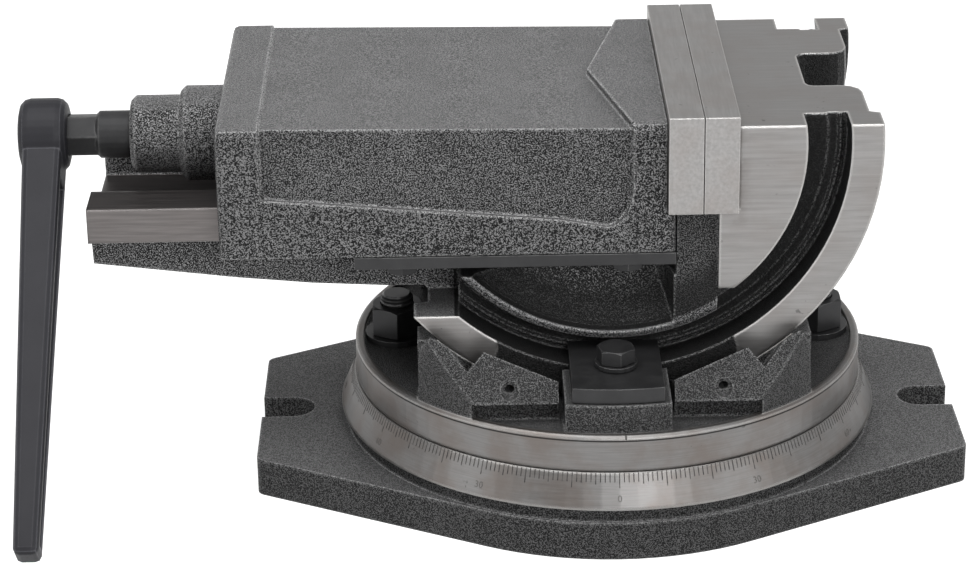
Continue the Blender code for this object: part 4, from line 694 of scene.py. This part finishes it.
class ViseLooks(bpy.types.PropertyGroup):
    """Colours and finishes of the vise."""

    paint_dark: FloatVectorProperty(name="Paint, dark", description="Dark ground of the hammertone paint",
                                    subtype="COLOR", default=(0.009, 0.009, 0.0095), min=0, max=1)
    paint_fleck: FloatVectorProperty(name="Paint, flecks", description="Light flecks of the paint",
                                     subtype="COLOR", default=(0.275, 0.275, 0.277), min=0, max=1)
    # Painted highlight: colour of the glints on cast edges.
    paint_glint: FloatVectorProperty(name="Paint, glints", description="Bright specks on cast edges",
                                     subtype="COLOR", default=(0.75, 0.75, 0.75), min=0, max=1)
    paint_metallic: FloatProperty(name="Paint metal", description="How metallic the paint looks",
                                  default=0.40, min=0, max=1, subtype="FACTOR")
    paint_gloss: FloatProperty(name="Paint gloss", description="Strength of the paint's reflection",
                               default=0.12, min=0, max=1, subtype="FACTOR")
    paint_relief: FloatProperty(name="Paint relief", description="Depth of the paint's mottling",
                                default=0.00022, min=0, max=0.002, unit="LENGTH")
    fleck_scale: FloatProperty(name="Fleck scale", description="Flecks per metre", default=2250.0, min=100,
                               max=5000)
    cast_edge: FloatProperty(name="Cast edge", description="Radius of the castings' soft edges",
                             default=0.0016, min=0, max=0.005, unit="LENGTH")
    forged_edge: FloatProperty(name="Forged edge", description="Radius of the crank's and screw's edges",
                               default=0.0014, min=0, max=0.005, unit="LENGTH")
    fine_edge: FloatProperty(name="Fine edge", description="Radius of the machined edges",
                             default=0.0004, min=0, max=0.002, unit="LENGTH")
    steel_dark: FloatVectorProperty(name="Steel, dark", description="Darker lines of ground steel",
                                    subtype="COLOR", default=(0.245, 0.240, 0.236), min=0, max=1)
    steel_light: FloatVectorProperty(name="Steel, light", description="Lighter lines of ground steel",
                                     subtype="COLOR", default=(0.340, 0.333, 0.328), min=0, max=1)
    steel_stain: FloatVectorProperty(name="Steel, stain", description="Soft brownish patches",
                                     subtype="COLOR", default=(0.235, 0.200, 0.180), min=0, max=1)
    # Painted highlight: colour of the bright line on machined edges.
    steel_edge: FloatVectorProperty(name="Steel, edge", description="Bright machined edges",
                                    subtype="COLOR", default=(0.75, 0.74, 0.72), min=0, max=1)
    rail_steel: FloatVectorProperty(name="Slideway", description="Oiled brownish steel of the slideways",
                                    subtype="COLOR", default=(0.150, 0.136, 0.133), min=0, max=1)
    rail_dark: FloatVectorProperty(name="Slideway, dark", description="Darker streaks of the slideways",
                                   subtype="COLOR", default=(0.110, 0.100, 0.098), min=0, max=1)
    # Black of the grooves; also the black of the painted shade on the castings, of the darker steel and of the
    # table's ring line.
    groove_black: FloatVectorProperty(name="Groove black", description="Black of the arc grooves",
                                      subtype="COLOR", default=(0.008, 0.008, 0.008), min=0, max=1)
    oxide: FloatVectorProperty(name="Black oxide", description="Blackened bolts, nuts and strips",
                               subtype="COLOR", default=(0.018, 0.018, 0.019), min=0, max=1)
    oxide_light: FloatVectorProperty(name="Black oxide, light", description="Lighter patches of the oxide",
                                     subtype="COLOR", default=(0.042, 0.042, 0.043), min=0, max=1)
    # Worn edges of the oxide, and the painted highlight on thread crests.
    oxide_worn: FloatVectorProperty(name="Oxide, worn", description="Worn edges of blackened pieces",
                                    subtype="COLOR", default=(0.16, 0.16, 0.16), min=0, max=1)
    handle_dark: FloatVectorProperty(name="Handle, dark", description="Darker tone of the crank",
                                     subtype="COLOR", default=(0.020, 0.020, 0.023), min=0, max=1)
    handle_light: FloatVectorProperty(name="Handle, light", description="Lighter tone of the crank",
                                      subtype="COLOR", default=(0.030, 0.030, 0.034), min=0, max=1)
    # Painted highlight: colour of the crank's lighter edges.
    handle_worn: FloatVectorProperty(name="Handle, edges", description="Lighter edges of the crank",
                                     subtype="COLOR", default=(0.22, 0.22, 0.24), min=0, max=1)
    engraving: FloatVectorProperty(name="Engraving", description="Fill of the ticks and numerals",
                                   subtype="COLOR", default=(0.018, 0.016, 0.015), min=0, max=1)
    engraving_worn: FloatVectorProperty(name="Engraving, worn", description="Worn fill of the engraving",
                                        subtype="COLOR", default=(0.09, 0.085, 0.08), min=0, max=1)


class ViseSizes(bpy.types.PropertyGroup):
    """Sizes of the engraved scale."""

    tick_width: FloatProperty(name="Tick width", description="Width of one tick", default=0.00032,
                              unit="LENGTH")
    tick_short: FloatProperty(name="Short tick", description="Length of a one degree tick", default=0.0032,
                              unit="LENGTH")
    tick_middle: FloatProperty(name="Middle tick", description="Length of a five degree tick",
                               default=0.0039, unit="LENGTH")
    tick_long: FloatProperty(name="Long tick", description="Length of a ten degree tick", default=0.0052,
                             unit="LENGTH")
    numeral_height: FloatProperty(name="Numeral height", description="Height of the scale's numbers",
                                  default=0.0034, unit="LENGTH")
    numeral_drop: FloatProperty(name="Numeral place", description="Middle of a number below the scale's top",
                                default=0.0090, unit="LENGTH")
    numeral_step: IntProperty(name="Numeral step", description="Degrees between numbers", default=30, min=10)
    engraving_proud: FloatProperty(name="Engraving height", description="How far the fill stands off the cone",
                                   default=0.00004, unit="LENGTH")


class ViseStage(bpy.types.PropertyGroup):
    """Light, floor and camera."""

    key_strength: FloatProperty(name="Key light", description="Power of the overhead panel", default=29.0,
                                unit="POWER")
    front_strength: FloatProperty(name="Front light", description="Power of the small front panel",
                                  default=12.0, unit="POWER")
    side_strength: FloatProperty(name="Side light", description="Power of each side panel", default=6.0,
                                 unit="POWER")
    world_strength: FloatProperty(name="Room light", description="Strength of the even room light",
                                  default=0.26, min=0)
    ceiling_strength: FloatProperty(name="Ceiling", description="Brightness of the ceiling in reflections",
                                    default=0.35, min=0)
    focal_length: FloatProperty(name="Focal length", description="Camera lens in millimetres",
                                default=113.61, min=1)
    pitch: FloatProperty(name="Camera pitch", description="How far the camera looks down",
                         default=math.radians(23.18), subtype="ANGLE")
    yaw: FloatProperty(name="Camera yaw", description="How far the camera turns to the side",
                       default=math.radians(-0.41), subtype="ANGLE")
    roll: FloatProperty(name="Camera roll", description="How far the camera leans",
                        default=math.radians(-0.89), subtype="ANGLE")
    place: FloatVectorProperty(name="Camera place", description="Where the camera stands",
                               default=(-0.0518, -1.0439, 0.5108), subtype="TRANSLATION", unit="LENGTH")


class VISE_OT_paint_castings(bpy.types.Operator):
    """Give the base, table, tilting body and movable jaw their paint and ground faces"""

    bl_idname = "vise.paint_castings"
    bl_label = "Paint the castings"

    def execute(self, context):
        looks = context.scene.vise_looks
        # tone sets each casting's painted shade on faces that look up and on the others.
        dress("base_plate", casting_material("Base casting", looks, base_region, ROUND_LINES,
                                             tone=(0.80, 0.32), shine=0.55, turned=True))
        dress("swivel_table", casting_material("Table casting", looks, table_region, ROUND_LINES,
                                               tone=(0.52, 0.42), shine=0.62, turned=True, fineness=1.2,
                                               worn=table_worn))
        dress("tilt_body", casting_material("Tilting casting", looks, body_region, BODY_LINES,
                                            tone=(0.90, 0.90), shine=0.85, dark_area=body_grooves,
                                            worn=body_worn))
        dress("movable_jaw", casting_material("Jaw casting", looks, no_region, ROUND_LINES,
                                              tone=(1.0, 0.74)))
        return {"FINISHED"}


class VISE_OT_grind_plates(bpy.types.Operator):
    """Give the two jaw plates and the screw nut their machined metal"""

    bl_idname = "vise.grind_plates"
    bl_label = "Grind the jaw plates"

    def execute(self, context):
        looks = context.scene.vise_looks
        plate = steel_material("Ground jaw plate", looks, PLATE_LINES)
        dress_all(("fixed_jaw_plate", "movable_jaw_plate"), plate)
        dress("screw_nut", bronze_material("Screw nut bronze", looks))
        return {"FINISHED"}


class VISE_OT_blacken_fasteners(bpy.types.Operator):
    """Give the bolts, nuts, washers, clamps, strips and screws their black oxide"""

    bl_idname = "vise.blacken_fasteners"
    bl_label = "Blacken the fasteners"

    def execute(self, context):
        looks = context.scene.vise_looks
        plain = oxide_material("Black oxide", looks)
        skip = {"base_plate", "swivel_table", "tilt_body", "movable_jaw", "fixed_jaw_plate",
                "movable_jaw_plate", "screw_nut", "crank_handle", "lead_screw"}
        dress_all([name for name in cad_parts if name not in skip], plain)
        nut_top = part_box("swivel_nut_left")[1].z
        bolt = oxide_material("Threaded bolt", looks,
                              thread=("Z", BOLT_PITCH, nut_top, nut_top + BOLT_THREAD_LENGTH))
        dress_all(("swivel_bolt_left", "swivel_bolt_right"), bolt)
        jaw_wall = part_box("thrust_collar")[1].x
        screw = oxide_material("Lead screw steel", looks, thread=("X", SCREW_LEAD, jaw_wall, FAR),
                               edge=looks.forged_edge, metal=0.15, gloss=looks.paint_gloss)
        dress("lead_screw", screw)
        return {"FINISHED"}


class VISE_OT_finish_crank(bpy.types.Operator):
    """Give the crank handle its satin forged finish"""

    bl_idname = "vise.finish_crank"
    bl_label = "Finish the crank"

    def execute(self, context):
        dress("crank_handle", handle_material("Crank forging", context.scene.vise_looks))
        return {"FINISHED"}


class VISE_OT_engrave_scale(bpy.types.Operator):
    """Set the degree ticks, the numerals and the index mark"""

    bl_idname = "vise.engrave_scale"
    bl_label = "Engrave the scale"

    def execute(self, context):
        sizes = context.scene.vise_sizes
        material = engraving_material("Engraving", context.scene.vise_looks)
        depth = ENGRAVING_DEPTH
        out = sizes.engraving_proud - depth / 2
        ticks = bmesh.new()
        for degree in range(360):
            length = sizes.tick_short
            if degree % 5 == 0:
                length = sizes.tick_middle
            if degree % 10 == 0:
                length = sizes.tick_long
            place = cone_matrix(degree + SCALE_FRONT, length / 2, out)
            add_bar(ticks, sizes.tick_width, length, depth, place)
        as_piece(ticks, "scale_ticks", material, "base")
        numbers = bmesh.new()
        for degree in range(0, 360, sizes.numeral_step):
            fold = degree % 180
            words = str(min(fold, 180 - fold))
            place = cone_matrix(degree + SCALE_FRONT, sizes.numeral_drop, out)
            add_numeral(numbers, words, sizes.numeral_height, depth, place)
        bmesh.ops.remove_doubles(numbers, verts=numbers.verts, dist=MERGE_DISTANCE)
        faint = engraving_material("Worn numerals", context.scene.vise_looks, worn=WORN_NUMERALS)
        as_piece(numbers, "scale_numerals", faint, "base")
        mark = bmesh.new()
        radius = TABLE_RADIUS - MARK_INSET
        middle = Vector((radius * math.cos(MARK_ANGLE), radius * math.sin(MARK_ANGLE),
                         RIM_TOP_Z - MARK_DROP))
        turn = Matrix.Rotation(MARK_ANGLE + math.radians(90), 4, "Z")
        add_bar(mark, *MARK_SIZE, Matrix.Translation(middle) @ turn)
        as_piece(mark, "index_mark", material, "table")
        return {"FINISHED"}


def background_seen(tree):
    """1 for the rays that see the white background itself."""
    path = tree.node("ShaderNodeLightPath")
    return tree.either(path.outputs["Is Camera Ray"], path.outputs["Is Glossy Ray"],
                       path.outputs["Is Transmission Ray"])


def stage_material(name, strength):
    """White to the camera, and a plain grey surface for the light."""
    made, tree, shader = new_material(name)
    shader.inputs["Base Color"].default_value = FLOOR_GREY
    shader.inputs["Roughness"].default_value = 0.9
    glow = tree.node("ShaderNodeEmission")
    glow.inputs["Color"].default_value = WHITE
    tree.feed(glow.inputs["Strength"], tree.math("MULTIPLY", background_seen(tree), strength))
    both = tree.node("ShaderNodeAddShader")
    output = made.node_tree.nodes["Material Output"]
    tree.tree.links.new(shader.outputs[0], both.inputs[0])
    tree.tree.links.new(glow.outputs[0], both.inputs[1])
    tree.tree.links.new(both.outputs[0], output.inputs["Surface"])
    return made


def panel_light(name, place, target, size, power):
    """A soft rectangular lamp that looks at a point."""
    lamp = bpy.data.lights.new(name, "AREA")
    lamp.shape = "RECTANGLE"
    lamp.size, lamp.size_y = size
    lamp.energy = power
    holder = bpy.data.objects.new(name, lamp)
    bpy.context.scene.collection.objects.link(holder)
    holder.location = place
    way = Vector(target) - Vector(place)
    holder.rotation_euler = way.to_track_quat("-Z", "Y").to_euler()


class VISE_OT_set_stage(bpy.types.Operator):
    """Set the pale floor, the soft light and the camera"""

    bl_idname = "vise.set_stage"
    bl_label = "Set the stage"

    def execute(self, context):
        stage = context.scene.vise_stage
        bm = bmesh.new()
        bmesh.ops.create_grid(bm, x_segments=1, y_segments=1, size=FLOOR_HALF)
        mesh = bpy.data.meshes.new("floor")
        bm.to_mesh(mesh)
        bm.free()
        mesh.materials.append(stage_material("Pale floor", 1.0))
        floor = bpy.data.objects.new("floor", mesh)
        floor.location.z = FLOOR_Z
        context.scene.collection.objects.link(floor)
        panel_light("overhead_panel", (-0.2, -0.3, 1.5), LOOK_AT, (1.6, 1.4), stage.key_strength)
        panel_light("front_panel", (0.45, -1.75, 0.80), LOOK_AT, (0.50, 0.50), stage.front_strength)
        panel_light("left_panel", (-1.5, -0.8, 0.8), LOOK_AT, (0.8, 1.2), stage.side_strength)
        panel_light("right_panel", (1.4, -1.0, 0.7), LOOK_AT, (0.8, 1.2), stage.side_strength)
        world = bpy.data.worlds.new("Room")
        world.use_nodes = True
        context.scene.world = world
        tree = Tree(world.node_tree)
        background = world.node_tree.nodes["Background"]
        rise = tree.node("ShaderNodeSeparateXYZ")
        tree.feed(rise.inputs[0], tree.node("ShaderNodeTexCoord").outputs["Generated"])
        ceiling = tree.smooth(rise.outputs[2], *CEILING_RISE)
        pale = tree.blend(ceiling, 1.0, stage.ceiling_strength)
        strength = tree.blend(background_seen(tree), stage.world_strength, pale)
        tree.feed(background.inputs["Strength"], strength)
        background.inputs["Color"].default_value = WHITE
        self.set_camera(context, stage)
        context.scene.view_settings.view_transform = "Standard"
        return {"FINISHED"}

    def set_camera(self, context, stage):
        """Stand the camera where the photo was taken, by its yaw, pitch and roll."""
        cos, sin = math.cos, math.sin
        across = Vector((cos(stage.yaw), sin(stage.yaw), 0.0))
        ahead = Vector((-sin(stage.yaw), cos(stage.yaw), 0.0))
        upward = Vector((0.0, 0.0, 1.0))
        forward = ahead * cos(stage.pitch) - upward * sin(stage.pitch)
        rise = ahead * sin(stage.pitch) + upward * cos(stage.pitch)
        right = across * cos(stage.roll) + rise * sin(stage.roll)
        top = rise * cos(stage.roll) - across * sin(stage.roll)
        lens = bpy.data.cameras.new("Camera")
        lens.sensor_fit = "HORIZONTAL"
        lens.sensor_width = SENSOR_WIDTH
        lens.lens = stage.focal_length
        lens.clip_start = CLIP_START
        holder = bpy.data.objects.new("Camera", lens)
        context.scene.collection.objects.link(holder)
        rotation = Matrix((right, top, -forward)).transposed()
        holder.matrix_world = Matrix.Translation(Vector(stage.place)) @ rotation.to_4x4()
        context.scene.camera = holder


STEPS = (
    VISE_OT_paint_castings,
    VISE_OT_grind_plates,
    VISE_OT_blacken_fasteners,
    VISE_OT_finish_crank,
    VISE_OT_engrave_scale,
    VISE_OT_set_stage,
)


class VISE_PT_looks(bpy.types.Panel):
    """Lists the steps that dress the vise"""

    bl_label = "Tilting vise"
    bl_idname = "VISE_PT_looks"
    bl_space_type = "VIEW_3D"
    bl_region_type = "UI"
    bl_category = "Vise"

    def draw(self, context):
        for step in STEPS:
            self.layout.operator(step.bl_idname)
        for settings in (context.scene.vise_looks, context.scene.vise_sizes, context.scene.vise_stage):
            box = self.layout.box()
            for name in settings.__annotations__:
                box.prop(settings, name)


CLASSES = (ViseLooks, ViseSizes, ViseStage, *STEPS, VISE_PT_looks)


def register():
    for item in CLASSES:
        bpy.utils.register_class(item)
    bpy.types.Scene.vise_looks = PointerProperty(type=ViseLooks)
    bpy.types.Scene.vise_sizes = PointerProperty(type=ViseSizes)
    bpy.types.Scene.vise_stage = PointerProperty(type=ViseStage)


def unregister():
    del bpy.types.Scene.vise_stage
    del bpy.types.Scene.vise_sizes
    del bpy.types.Scene.vise_looks
    for item in reversed(CLASSES):
        bpy.utils.unregister_class(item)


def main():
    register()
    bpy.ops.vise.paint_castings()
    bpy.ops.vise.grind_plates()
    bpy.ops.vise.blacken_fasteners()
    bpy.ops.vise.finish_crank()
    bpy.ops.vise.engrave_scale()
    bpy.ops.vise.set_stage()


if __name__ == "__main__":
    main()
